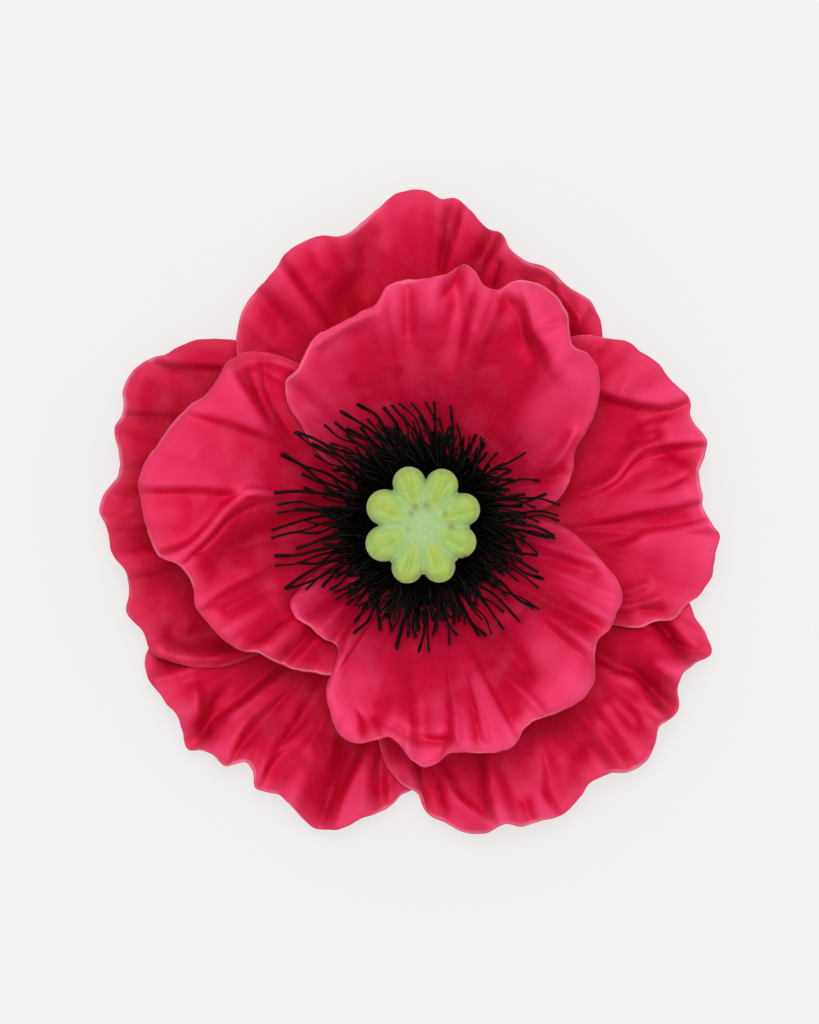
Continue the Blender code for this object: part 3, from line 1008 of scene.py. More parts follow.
def outer_lower_left() -> Petal:
    """The lowest petal, under the lower left."""
    return Petal(
        "petal_outer_lower_left", Lie.OUTER, 2.5, 1.0, seed=11,
        flare=((190, 0.8), (283, 0.8)),
        rim=(
            (190, 12), (193, 28), (197, 44), (200, 57), (203, 65), (206, 69.7), (209, 70.9), (212, 70.6),
            (215, 70.3), (218, 70), (221, 71.6), (223.8, 73.4), (226, 70.8), (228, 70.1), (230.5, 70.3),
            (233.5, 66.8), (235.3, 67.2), (238, 70.4), (242, 68.9), (246, 70.4), (250.5, 72.8),
            (254, 71.7), (258.5, 67.6), (263, 64.6), (265.6, 61.4), (268.5, 59.5), (272, 54), (276, 44),
            (280, 30), (283, 12),
        ),
        folds=(
            crest(2.2, 1.6, 1.3, (230, 40), (228, 47), (226.6, 52), (225.6, 58), (224, 66)),
            crest(2.0, 1.1, 1.6, (231.5, 44), (229.3, 53), (228.3, 59), (229, 65), (230.3, 70)),
            swell(1.0, 2.6, (227, 58), (227.4, 69)),
            swell(-1.8, 1.8, (223.4, 62), (223.6, 69)),
            swell(-2.0, 1.8, (233.4, 52), (233.4, 62), (234.6, 67)),
            crease(1.7, 1.0, (240.5, 52), (239.5, 57), (237.8, 61), (236.8, 65), (237.6, 70)),
            crease(1.2, 1.1, (243.4, 46), (243.3, 57)),
            swell(1.8, 3.0, (245, 60), (245, 70)),
            crest(-2.4, 1.6, 2.0, (250, 44), (251, 60), (251.6, 71)),
            crease(1.2, 0.8, (253, 64), (252.8, 72)),
            crest(2.8, 4.6, 1.2, (257.5, 48), (256, 57), (254.8, 64), (254.4, 71)),
            swell(-1.8, 1.8, (258.8, 52), (260.5, 59), (261.6, 64)),
            crease(1.5, 1.1, (262, 54), (263, 60), (263.4, 63)),
            crease(2.2, 1.3, (213, 58), (211.5, 65), (210.3, 70.5)),
            swell(-1.8, 1.5, (209.5, 62), (207.5, 67)),
            crest(2.0, 1.4, 2.2, (214.5, 63), (217.5, 65), (220.6, 67.5)),
            swell(-2.0, 1.8, (219.5, 58), (222, 68)),
        ),
    )


def outer_left() -> Petal:
    """The petal at the left."""
    return Petal(
        "petal_outer_left", Lie.OUTER, 4.0, 1.1, seed=23, shading_offset=-0.22,
        flare=((119, 1.0), (225, 1.0)),
        rim=(
            (119, 12), (121, 27), (125, 42), (130, 52), (135, 58.8), (138, 62.8), (142, 67), (146, 69.2),
            (149, 72.3), (152.5, 74.1), (155, 74.3), (159, 72.3), (162.5, 72.7), (167, 70.1), (171, 69.6),
            (174.5, 72.1), (177, 73.1), (180.5, 71.2), (185, 70.4), (189, 67.7), (193, 67.9),
            (196.5, 69.6), (201, 67.5), (205, 67.6), (208.5, 64.5), (212, 60.5), (215.5, 55), (217.5, 49),
            (220, 38), (223, 25), (225, 12),
        ),
        folds=(
            crest(2.4, 1.4, 4.0, (138, 52), (141, 59), (144, 64), (147, 70)),
            swell(1.4, 3.0, (150.5, 54), (151.5, 72)),
            crest(-2.2, 2.6, 1.2, (156, 54), (157, 62), (159.7, 72)),
            swell(1.8, 2.6, (164, 56), (163.5, 71)),
            swell(-2.2, 2.6, (168.5, 54), (169.8, 70)),
            crest(2.2, 2.2, 2.8, (176.5, 54), (177.3, 73)),
            swell(-1.4, 2.0, (181, 56), (182, 70)),
            crest(1.8, 2.4, 1.6, (186, 54), (186, 69)),
            swell(-1.6, 2.0, (191, 54), (191, 67)),
            swell(1.6, 2.4, (196, 54), (196.8, 69)),
            swell(1.6, 1.8, (203, 56), (205, 67)),
            swell(-2.6, 2.4, (212, 48), (207.5, 56), (204, 62)),
            crest(3.0, 1.4, 2.6, (217, 46), (213.5, 55), (210.2, 60.5), (206.5, 66)),
        ),
    )


def outer_lower_right() -> Petal:
    """The petal under the lower right."""
    return Petal(
        "petal_outer_lower_right", Lie.OUTER, 4.0, 1.0, seed=31,
        flare=((250, 0.8), (361, 0.8)),
        rim=(
            (250, 12), (253, 26), (256, 40), (259, 50), (262.2, 55.7), (265.5, 58.8), (269.3, 61),
            (271, 65.2), (274.5, 67.6), (278.5, 70.6), (282, 71.1), (285.5, 70), (288.7, 71.9),
            (292, 72.1), (296, 72.8), (300, 71.2), (303, 69.6), (307, 70.3), (310.5, 73.2), (314, 73.7),
            (317.5, 71.8), (319.5, 70.2), (322.5, 71.5), (324.5, 71.3), (327, 68.8), (330.5, 67.7),
            (333.5, 69.5), (336, 71.9), (338.5, 69.5), (341.3, 65.3), (345, 62), (349, 55), (354, 43),
            (358, 28), (361, 12),
        ),
        folds=(
            swell(1.8, 2.2, (264, 52), (268, 59)),
            crest(-1.8, 1.0, 1.4, (269, 52), (270, 60), (270.8, 64.5)),
            crease(1.2, 1.1, (272, 52), (273, 58)),
            crease(-1.9, 1.1, (271.4, 54), (273.5, 60), (274.4, 66)),
            crest(2.6, 1.4, 3.2, (274, 56), (277, 63), (282.5, 70)),
            crest(2.6, 5.0, 1.4, (287, 48), (286, 57), (284.7, 64), (285, 70)),
            swell(-1.8, 1.2, (290.6, 66), (290.3, 72)),
            crest(2.4, 1.5, 4.6, (297.5, 52), (296, 61), (293.6, 68), (294.3, 73)),
            swell(1.4, 2.4, (300, 54), (300, 62)),
            swell(-1.8, 2.6, (304.5, 50), (304, 62)),
            swell(1.2, 2.0, (307, 62), (306.5, 70)),
            crest(-1.3, 1.6, 1.2, (311.6, 62), (311.4, 73)),
            crease(1.1, 1.0, (311.6, 58), (310.3, 71.5)),
            swell(2.0, 3.0, (313.5, 50), (314.5, 59)),
            crease(1.3, 1.6, (315.2, 56), (313.6, 66), (312.8, 72.5)),
            crease(1.0, 1.2, (317.4, 58), (316.6, 66)),
            swell(-1.3, 1.3, (318.3, 64), (319.9, 69.5)),
            crease(1.1, 1.1, (319.6, 57), (320, 62), (318.6, 68)),
            crest(
                2.6, 1.2, 2.4, (320.5, 46), (321.3, 53), (322.3, 57), (323.5, 60.5), (321.8, 66),
                (321, 71),
            ),
            swell(-2.2, 1.6, (325.8, 58), (324.4, 66), (323.6, 70)),
            swell(1.5, 1.9, (328.6, 60), (329.5, 68)),
            crest(3.0, 1.2, 3.2, (337, 52), (334.5, 60), (332, 65), (331.6, 71)),
            swell(-2.4, 1.8, (339, 54), (336.7, 61), (334, 66)),
            swell(2.0, 1.8, (338.5, 60), (336.5, 68)),
        ),
    )


def outer_top() -> Petal:
    """The petal at the back."""
    return Petal(
        "petal_outer_top", Lie.OUTER, 5.4, 1.1, seed=43, shading_offset=-0.02,
        flare=((28, 1.2), (60, 1.6), (74, 1.4), (90, 0.6), (152, 0.8)),
        rim=(
            (28, 12), (31, 26), (36, 42), (41, 52), (46, 59), (50, 62.3), (54, 63.6), (58.5, 63.3),
            (63.5, 64.8), (69, 64.3), (72.5, 65.6), (75, 68.6), (78, 69), (81, 71.6), (84.2, 74.3),
            (86.2, 73.9), (90, 75.8), (94, 75.4), (98, 72), (101, 69.8), (105.5, 67.7), (109, 69.2),
            (113, 69.5), (117, 68.6), (120, 66.4), (125, 65.1), (129, 63.7), (134, 60.3), (138, 56),
            (143, 46), (147, 33), (150, 20), (152, 12),
        ),
        folds=(
            swell(-2.0, 1.6, (49, 50), (52, 56)),
            crease(1.9, 1.2, (51, 52), (52.5, 59.5), (53, 63)),
            crease(2.0, 1.0, (50, 58), (54, 60), (57.5, 61.3), (60, 62.8), (61.5, 66)),
            swell(-1.8, 2.2, (69, 60.5), (66, 62), (62, 63)),
            swell(1.4, 2.4, (66, 52), (67, 59)),
            crease(-2.0, 1.0, (73.2, 55), (73.2, 62)),
            crest(2.8, 1.1, 3.2, (76.5, 54), (74.8, 63), (73.4, 69)),
            swell(-3.0, 2.3, (79.5, 52), (77.8, 61), (76, 70)),
            crest(2.6, 1.0, 2.6, (84.6, 54), (83.2, 64), (82, 73)),
            crease(-1.8, 1.1, (86.2, 56), (85, 72)),
            swell(1.4, 4.0, (96, 48), (95, 70)),
            swell(-2.6, 3.2, (110, 44), (109, 54), (103, 60), (101.4, 67)),
            swell(1.2, 2.0, (111, 60), (111, 68)),
            crest(2.9, 6.0, 1.6, (116.4, 42), (117, 52), (119.3, 67.5)),
            swell(-1.4, 2.0, (124, 54), (125, 64)),
            swell(1.4, 2.6, (129, 46), (130, 62)),
        ),
    )


def outer_right() -> Petal:
    """The petal at the right, the highest of the outer five."""
    return Petal(
        "petal_outer_right", Lie.OUTER, 6.8, 1.15, seed=57, shading_offset=0.10,
        flare=((-40, 1.8), (-2, 1.8), (6, 0.8), (26, 0.8), (32, 1.8), (44, 1.6), (64, 0.8)),
        rim=(
            (-40, 12), (-36, 28), (-31, 42), (-27, 50), (-25, 55), (-22.5, 57.3), (-20, 61.6), (-17, 62.6),
            (-14.5, 64.7), (-10, 66.7), (-5, 66.9), (-2.2, 67.5), (0, 65.8), (3, 64), (7.5, 63.7),
            (10.8, 63.9), (13.8, 66), (16.5, 67.3), (19, 66.4), (22, 65.6), (25, 67), (27.5, 66.2),
            (30, 65.2), (34, 65), (38, 63.5), (42, 62.4), (44.5, 60.2), (48, 57.9), (51.5, 54.5), (55, 47),
            (59, 35), (62, 22), (64, 12),
        ),
        folds=(
            crease(2.0, 1.1, (-25.5, 45), (-21.5, 51), (-17.5, 56.5)),
            crease(1.7, 1.0, (-20, 46), (-17.8, 50), (-15, 53)),
            swell(-1.2, 1.6, (-22, 52), (-20, 58)),
            swell(1.4, 4.4, (-10, 52), (-9, 65)),
            crest(3.0, 1.3, 5.0, (-9, 42), (-6, 48), (-3, 52), (-2, 58), (0, 66)),
            crease(1.3, 1.3, (-2, 36), (-2, 50)),
            crest(2.3, 4.0, 1.2, (0.5, 32), (2.8, 43), (4.2, 50), (5.2, 58), (6, 64)),
            swell(1.2, 2.4, (8, 38), (7.5, 60)),
            crease(-1.0, 1.1, (8.4, 50), (9, 57), (10.4, 61.5)),
            crease(0.9, 1.0, (13.4, 48), (15.4, 54), (13.4, 58.5)),
            crease(-1.9, 1.0, (17, 57), (13.6, 61.6), (11.2, 64)),
            crest(3.0, 2.4, 1.1, (10, 36), (14, 46), (17, 49.5), (19, 53), (19, 57), (18, 62), (17, 67)),
            crease(0.6, 0.9, (17, 51), (17.2, 57), (14.6, 61)),
            swell(-1.7, 1.7, (22, 48), (20.7, 57)),
            crease(1.5, 1.4, (24, 54), (22.6, 60)),
            crest(3.4, 6.0, 1.0, (40, 42), (37.5, 51), (33, 54.5), (29, 58.8), (27, 62), (26.4, 66.5)),
            swell(-1.2, 2.0, (46, 50), (45, 59)),
        ),
    )


def outer_petals() -> list[Petal]:
    """The five outer petals, lowest first."""
    return [outer_lower_left(), outer_left(), outer_lower_right(), outer_top(), outer_right()]


def inner_left() -> Petal:
    """The lowest inner petal, with a long curved fold."""
    return Petal(
        "petal_inner_left", Lie.INNER, 8.6, 0.88, seed=67, shading_offset=-0.20, crinkle=0.6,
        flare=(
            (112, 0.6), (134, 2.2), (142, 3.0), (152, 2.6), (168, 1.4), (176, 2.4), (186, 2.0), (196, 0.8),
            (204, 2.4), (214, 2.0), (226, 0.8), (251, 0.4),
        ),
        rim=(
            (112, 12), (115, 25), (120, 37), (127, 45), (131, 51.1), (135, 55.4), (140, 57.4), (145, 56.7),
            (149, 57), (153, 59.1), (158, 60.9), (163, 62.4), (167.5, 64.2), (171, 64.8), (176, 63.5),
            (182, 61.8), (186.5, 60), (189, 55.8), (194, 53.6), (200, 54.4), (205, 53.2), (211, 51.5),
            (215, 49.8), (218.5, 46.6), (222, 45.9), (228, 43.9), (234, 41.6), (238, 40.3), (243, 36),
            (248, 26), (251, 12),
        ),
        folds=(
            crease(1.5, 1.3, (126, 41), (130, 47), (135, 52.5), (140, 55)),
            crest(-2.0, 1.8, 1.8, (147, 34), (142, 42), (138, 48), (133.5, 51.5)),
            crease(-1.4, 1.2, (150, 34), (147, 40), (142, 47), (137.7, 53)),
            crease(0.7, 0.8, (147, 38), (142, 45), (138, 50)),
            crest(2.6, 3.6, 1.5, (150, 36), (146, 44), (141.5, 56)),
            crest(1.9, 1.3, 5.0, (146.5, 35), (150, 46), (152.8, 58)),
            swell(1.2, 4.4, (159, 34), (160, 58)),
            crest(2.7, 1.3, 6.0, (166, 28), (167.4, 35), (169, 48), (171.4, 63)),
            swell(1.0, 3.6, (177, 52), (178, 62)),
            crest(
                4.2, 3.4, 1.5, (166, 28), (168.5, 34.2), (170.2, 39.8), (174.6, 43.5),
                (180.3, 46.9), (185.7, 52.1), (187.6, 59),
            ),
            crease(-1.3, 0.6, (172, 37), (177.5, 43), (183.5, 47.5), (189, 54)),
            swell(-2.6, 3.2, (178, 27), (184, 37), (191, 47)),
            crease(1.5, 1.5, (194, 34), (197.5, 46), (200, 54)),
            swell(-1.0, 1.4, (201.5, 36), (203.5, 48)),
            swell(2.0, 2.6, (207, 34), (209, 50)),
            crease(-1.6, 1.0, (214.5, 36), (215.4, 49)),
            swell(1.6, 2.2, (218.5, 32), (219.5, 44)),
            swell(-1.8, 1.6, (224, 30), (224.5, 44)),
            crease(1.6, 1.0, (227.6, 32), (227.6, 43)),
            swell(-1.0, 1.8, (233, 30), (233, 41)),
        ),
    )


def inner_top() -> Petal:
    """The inner petal at the back."""
    return Petal(
        "petal_inner_top", Lie.INNER, 9.8, 1.0, seed=79, shading_offset=0.04, crinkle=0.4,
        flare=(
            (2, 0.5), (20, 2.0), (30, 2.6), (48, 2.4), (55, 3.6), (66, 3.2), (72, 1.4), (80, 3.2),
            (88, 2.6), (96, 0.8), (124, 0.4), (150, 0.4),
        ),
        rim=(
            (2, 12), (6, 24), (10.5, 31.2), (14, 33.6), (18, 35.6), (22, 37.2), (26, 38.6), (30, 43),
            (34, 47.4), (38, 50.9), (42, 53.2), (46, 53.9), (50, 52.7), (53, 55), (56, 58.1), (60, 60),
            (65, 60.3), (69, 58.9), (72.4, 55.6), (76, 56), (78.5, 58.7), (80.8, 59.6), (84, 57.2),
            (88, 55.7), (94, 55.4), (98, 54.6), (101.5, 51), (107, 49.8), (113, 49), (118.5, 49.1),
            (123, 47.6), (128.5, 45.2), (133, 44.9), (136.5, 42.3), (140.5, 35), (144, 30), (147, 22),
            (150, 12),
        ),
        folds=(
            crease(1.8, 1.2, (23, 30), (27, 36), (31, 40)),
            swell(-1.2, 1.6, (19, 26), (20.5, 34)),
            swell(2.6, 4.6, (42, 26), (44, 47)),
            swell(-2.6, 5.4, (62, 24), (62, 45)),
            crest(2.6, 1.5, 4.5, (50, 46.5), (55, 49), (60.5, 51), (63, 54), (66, 58)),
            swell(-1.8, 1.8, (54, 45), (61.6, 48.6), (65, 52), (70, 54)),
            crease(1.1, 0.8, (59.5, 51), (55.4, 55.5)),
            swell(1.6, 2.0, (68, 54), (68, 60)),
            swell(-1.0, 1.3, (72.6, 44), (72.6, 56)),
            crease(1.0, 1.8, (75, 32), (75.4, 45)),
            swell(1.4, 1.6, (79, 52), (79.4, 60)),
            crease(-2.4, 1.4, (85, 51.5), (82.3, 56), (81.4, 60)),
            crease(0.8, 1.4, (81, 30), (80.6, 47)),
            crease(-0.8, 1.8, (86.4, 18), (86, 36)),
            swell(1.2, 2.8, (88, 44), (87, 56)),
            swell(-1.6, 1.6, (94.4, 42), (93.4, 53)),
            crease(-1.2, 1.2, (99, 18), (99, 35)),
            swell(1.0, 2.6, (98, 40), (98.4, 54)),
            swell(-1.0, 2.8, (108, 24), (108.5, 45)),
            crease(-1.2, 1.2, (115, 18), (115.4, 36)),
            swell(1.2, 4.4, (127, 26), (128, 44)),
            crease(1.0, 0.9, (100, 49.4), (107, 48.3), (113, 47.7), (120, 47)),
        ),
    )


def inner_lower() -> Petal:
    """The inner petal in front, which lies over all the others."""
    return Petal(
        "petal_inner_lower", Lie.INNER, 11.0, 1.0, seed=83, shading_offset=0.04, crinkle=0.55,
        flare=(
            (199, 1.0), (212, 1.6), (236, 1.0), (244, 3.2), (254, 2.0), (260, 0.8), (265, 3.6), (272, 2.4),
            (280, 2.6), (294, 2.2), (301, 3.0), (308, 4.4), (324, 4.4), (331, 2.6), (338, 3.4), (348, 2.0),
            (367, 0.5),
        ),
        rim=(
            (199, 12), (203, 23), (208, 31.5), (211, 34.8), (216, 35.6), (221, 34.6), (229, 34.2),
            (236, 33.9), (238.6, 37), (240, 43), (244, 47), (248, 50.5), (252.5, 51.6), (257, 50),
            (261, 48.3), (265, 50.4), (268, 53.4), (270.7, 54.7), (273.5, 53.8), (277, 51.8), (282, 52.4),
            (288.5, 54), (292, 53.9), (297, 51.3), (300, 50.9), (306, 52.2), (312, 53.3), (317, 52.8),
            (321, 50.2), (326, 47.5), (331, 48.5), (335.5, 48.2), (339.5, 48.4), (343, 46.6), (348, 42),
            (352, 38.4), (358, 33), (361, 29), (364, 22), (367, 12),
        ),
        folds=(
            swell(1.8, 2.2, (210, 22), (212.5, 34)),
            crease(-1.6, 1.2, (221, 20), (219.5, 33)),
            crease(1.2, 1.1, (225.5, 22), (226, 33)),
            swell(-2.0, 1.8, (232, 20), (234, 33)),
            crest(2.2, 4.2, 1.2, (232, 20), (236.6, 28), (239.4, 36), (241, 44)),
            swell(1.2, 2.6, (249, 30), (250, 48)),
            crease(-1.8, 0.8, (250.6, 44), (253, 46.4), (254, 49)),
            crease(-1.6, 0.8, (254.6, 43.6), (257.6, 46.6), (258.4, 48)),
            swell(-1.8, 1.4, (258, 44.6), (263, 46.4), (270, 48.2), (276.5, 48.8)),
            swell(-1.2, 2.6, (264, 28), (266, 37)),
            crest(2.2, 2.0, 1.2, (266, 44), (266.6, 53)),
            swell(1.4, 2.2, (273.6, 36), (273.4, 46)),
            crease(-1.6, 1.2, (278.4, 34), (277.8, 43), (276.4, 48), (274.2, 53)),
            crease(1.6, 0.8, (280.4, 32), (280, 41), (279.4, 49)),
            swell(1.0, 1.8, (283, 38), (282.4, 51)),
            crease(-1.1, 1.0, (286, 34), (285.9, 43), (284.4, 50)),
            crease(1.4, 0.8, (288, 36), (286.8, 50)),
            crest(2.4, 1.2, 3.4, (289, 30), (291.5, 42), (292.8, 53)),
            swell(-1.8, 3.0, (297, 24), (296, 46)),
            crease(1.5, 1.0, (296, 36), (301, 43.5), (302.6, 50)),
            swell(-2.4, 2.4, (304, 24), (305.4, 40)),
            swell(2.4, 4.0, (314, 30), (314, 52)),
            crease(-1.3, 1.2, (321.4, 36), (320.6, 50)),
            crease(1.6, 1.3, (324.6, 30), (323.8, 48)),
            swell(-2.4, 2.0, (327, 24), (328.4, 37), (329.6, 46)),
            crease(1.5, 1.3, (335, 34), (333.4, 47)),
            crease(1.6, 1.6, (341, 28), (339.6, 46)),
            swell(-1.2, 1.6, (346, 26), (345, 40)),
            crease(1.6, 1.4, (352, 24), (348.6, 40)),
        ),
    )


def inner_petals() -> list[Petal]:
    """The three inner petals, lowest first."""
    return [inner_left(), inner_top(), inner_lower()]


def reach_of(petals: list[Petal]) -> np.ndarray:
    """How far a set of petals reaches in each whole degree.

    Args:
        petals: The petals.

    Returns:
        The greatest distance at 0 to 360 degrees.
    """
    around = np.arange(361)
    reach = np.zeros(len(around))
    for petal in petals:
        rim = np.array(petal.rim, float)
        for turn in (-360, 0, 360):
            lengths = np.interp(around + turn, rim[:, 0], rim[:, 1], left=0, right=0)
            reach = np.maximum(reach, lengths)
    return reach


# ---------------------------------------------------------------- fringe


def fringe_tips() -> list[tuple[Polar, ...]]:
    """Where each tuft's longest stamens end, as (angle, distance), tuft by tuft from angle 0."""
    return [
        ((356, 30), (353.6, 30.2), (350.6, 23.6)), ((5, 31), (1.8, 31), (0.4, 26.5)),
        ((13, 29), (10, 31.4), (8, 26)), ((20.5, 28.5), (17.6, 24.5), (26, 20)),
        ((33, 23.4), (36, 28.6), (29, 21)), ((44, 23.6), (47.6, 22), (40.6, 20.4)),
        ((55, 24), (58.6, 22.6), (51, 20.6)), ((74.5, 26), (70.6, 24.4), (66, 22)),
        ((77, 27.7), (85, 28), (81, 24.6)), ((88, 28), (95, 28), (91, 24.6)),
        ((98, 28), (104, 28), (101, 25)), ((108, 28), (117, 31), (112, 26.4)),
        ((119, 27), (125.5, 31.5), (115.4, 25)), ((131, 30.6), (127.6, 27.6), (122.6, 26)),
        ((134, 31.6), (137, 27.6), (130, 26.6)), ((143.5, 31), (139.6, 28), (136.6, 24.6)),
        ((142, 35.4), (145, 35.6), (148, 29)), ((154, 35.6), (153, 35.2), (157, 29.6)),
        ((166, 34), (171, 33), (162.6, 28)), ((176, 33), (182, 34), (173, 29)),
        ((186, 34), (183.4, 30), (178, 27.4)), ((193, 34), (195.2, 34.5), (189.6, 29)),
        ((203, 34), (207, 34), (199.6, 29)), ((211.6, 26.6), (215.6, 25.6), (207.6, 30)),
        ((221, 26), (218, 25), (224.6, 23.4)), ((226.4, 25), (230, 24), (222, 21.6)),
        ((239.4, 28.8), (235, 26.8), (232.4, 23.4)), ((249, 25.6), (252, 25), (246, 23.6)),
        ((258.8, 28.6), (257.6, 28.2), (255.4, 25.2)), ((266, 25.5), (263, 25.6), (260.4, 22.6)),
        ((269.2, 28.6), (272.2, 28.7), (266.6, 24)), ((275.6, 25.2), (279, 24.2), (277, 22)),
        ((283.2, 28), (287, 26.2), (290, 23.4)), ((296, 28.2), (299.4, 28.8), (293.4, 24.6)),
        ((304, 29.2), (307, 30), (302, 25.4)), ((315.6, 31), (312.6, 27), (310.4, 22.6)),
        ((325, 32.6), (322, 31.4), (318, 25)), ((333, 30), (336, 30), (329, 25.4)),
        ((344, 27), (340, 24), (337.6, 28.4)), ((354.6, 29), (349, 27), (346.6, 23)),
    ]


@dataclass
class Fringe:
    """The ring of black stamens: 40 tufts in two rings, each a strip cut into threads.

    Each tuft has its longest threads, whose tips are given, and short fillers, whose tips stray.
    """

    finish: Material
    tufts: int = 20
    fillers: int = 7
    sides: int = 8
    steps: int = 16
    girth: float = 0.31
    between: float = 2.0
    stray: float = 13.0
    short: Pair = (17.5, 24.0)
    scatter: float = 5.0
    leans: tuple[Polar, ...] = (
        (-45, 4), (-20, -8), (10, -14), (35, -9), (60, 14), (90, 19), (112, 17), (130, 8), (150, 0),
        (180, 2), (222, -8), (260, 0), (290, 3), (315, 4), (340, -8), (370, -14),
    )

    def swirl(self, angle: float) -> float:
        """How far the stamens lean round the pod, counterclockwise, at a direction."""
        knots = np.array(self.leans, float)
        return float(np.interp(angle % 360, knots[:, 0], knots[:, 1]))

    def thread(self, root: float, tip: Polar, low: bool, rng: np.random.Generator) -> np.ndarray:
        """The middle line of one stamen.

        Args:
            root: Direction of its root.
            tip: Direction and distance of its tip.
            low: Whether it grows from the lower ring.
            rng: Random numbers.

        Returns:
            Places along it.
        """
        foot, start, slope = (12.4, 15.8, 0.32) if low else (11.0, 16.6, 0.46)
        turn = (tip[0] - root + 180) % 360 - 180
        climb = slope * (tip[1] - foot) + rng.normal(0, 0.9)
        sway = rng.normal(0, 3.4)
        share = np.array([0, 0.12, 0.34, 0.56, 0.78, 1.0])
        angle = root + turn * share + sway * np.sin(share * math.pi) * (1.2 - share)
        angle = angle + rng.normal(0, 1.1, len(share)) * share * (1 - share) * 4
        angle[-1] += rng.normal(0, 1.0)
        radius = foot + (tip[1] - foot) * share
        height = start + climb * share**0.75 + rng.normal(0, 0.7) * np.sin(share * math.pi * 1.5)
        way = np.radians(angle)
        points = np.stack([radius * np.cos(way), radius * np.sin(way), height], axis=1)
        return smooth_curve(points, self.steps)

    def girths(self, rng: np.random.Generator) -> np.ndarray:
        """A thread's radius along its length: slightly knotty, with a blunt, swollen tip.

        Args:
            rng: Random numbers.

        Returns:
            The radii.
        """
        share = np.linspace(0, 1, self.steps)
        body = self.girth * rng.uniform(0.75, 1.22) * (1.08 - 0.2 * share)
        knots = 1 + 0.14 * rng.uniform(-1, 1, self.steps)
        swollen = 1 + rng.uniform(0.05, 0.45) * ramp(0.86, 0.97, share)
        return body * knots * swollen

    def add_thread(self, shape: Shape, path: np.ndarray, radii: np.ndarray) -> None:
        """Adds a thread with rounded ends.

        Args:
            shape: What the tuft is gathered in.
            path: The thread's middle line.
            radii: Its radius along that line.
        """
        ahead = path[-1] - path[-2]
        ahead /= np.linalg.norm(ahead)
        back = path[0] - path[1]
        back /= np.linalg.norm(back)
        size = radii[-1]
        nose = [path[-1] + ahead * size * 0.45, path[-1] + ahead * size * 0.6]
        path = np.concatenate([[path[0] + back * 0.02], path, nose])
        radii = np.concatenate([[radii[0] * 0.05], radii, [size * 0.8, size * 0.05]])
        corners, faces, along = tube(path, radii, self.sides)
        shape.add(corners, [(faces, 0)], along=along)

    def strip(self, shape: Shape, start: float, width: float, low: bool) -> None:
        """Adds the upright band that a tuft is cut from.

        Args:
            shape: What the tuft is gathered in.
            start: The band's middle direction.
            width: The angle that it spans.
            low: Whether it is in the lower ring.
        """
        radius, foot, top = (12.6, 15.3, 16.4) if low else (10.4, 15.1, 17.6)
        columns = 9
        angle = np.radians(start + np.linspace(-0.5, 0.5, columns) * width)
        ring = [(radius - 0.5, foot), (radius + 0.5, foot), (radius + 0.55, top), (radius - 0.45, top)]
        rows = [np.stack([r * np.cos(angle), r * np.sin(angle), np.full(columns, z)], 1) for r, z in ring]
        corners = np.concatenate(rows)
        sides = grid_faces(len(ring) + 1, columns) % len(corners)
        first = np.arange(len(ring)) * columns
        caps = np.stack([first[::-1], first + columns - 1])
        shape.add(corners, [(sides, 0), (caps, 0)], along=np.zeros(len(corners)))

    def build(self, stack: Stack) -> list[Object]:
        """Makes every tuft.

        Args:
            stack: The petals below, which the threads stay clear of.

        Returns:
            The tufts.
        """
        rng = np.random.default_rng(5)
        made = []
        tips = fringe_tips()
        step = 360 / self.tufts
        for low in (False, True):
            ring = "lower" if low else "upper"
            for number in range(self.tufts):
                start = (number + (0.5 if low else 0.0)) * step
                shape = Shape()
                self.strip(shape, start, step - self.between, low)
                longest = tips[2 * number + (1 if low else 0)]
                swirl = self.swirl(start)
                shorter = [
                    (start + 0.5 * swirl + rng.uniform(-self.stray, self.stray), rng.uniform(*self.short))
                    for _ in range(self.fillers)
                ]
                for tip in (*longest, *shorter):
                    lean = (tip[0] - start + 180) % 360 - 180
                    root = start + 0.30 * lean - 0.5 * swirl
                    root += rng.uniform(-self.scatter, self.scatter)
                    line = self.thread(root, tip, low, rng)
                    below = stack.over(line[:, 0], line[:, 1], stack.cell) + 0.75
                    line[:, 2] = soft_max(line[:, 2], below, 0.4)
                    self.add_thread(shape, line, self.girths(rng))
                made.append(shape.build(f"stamens_{ring}_{number + 1:02d}", [self.finish]))
        return made


# ---------------------------------------------------------------- pod, collar, receptacle


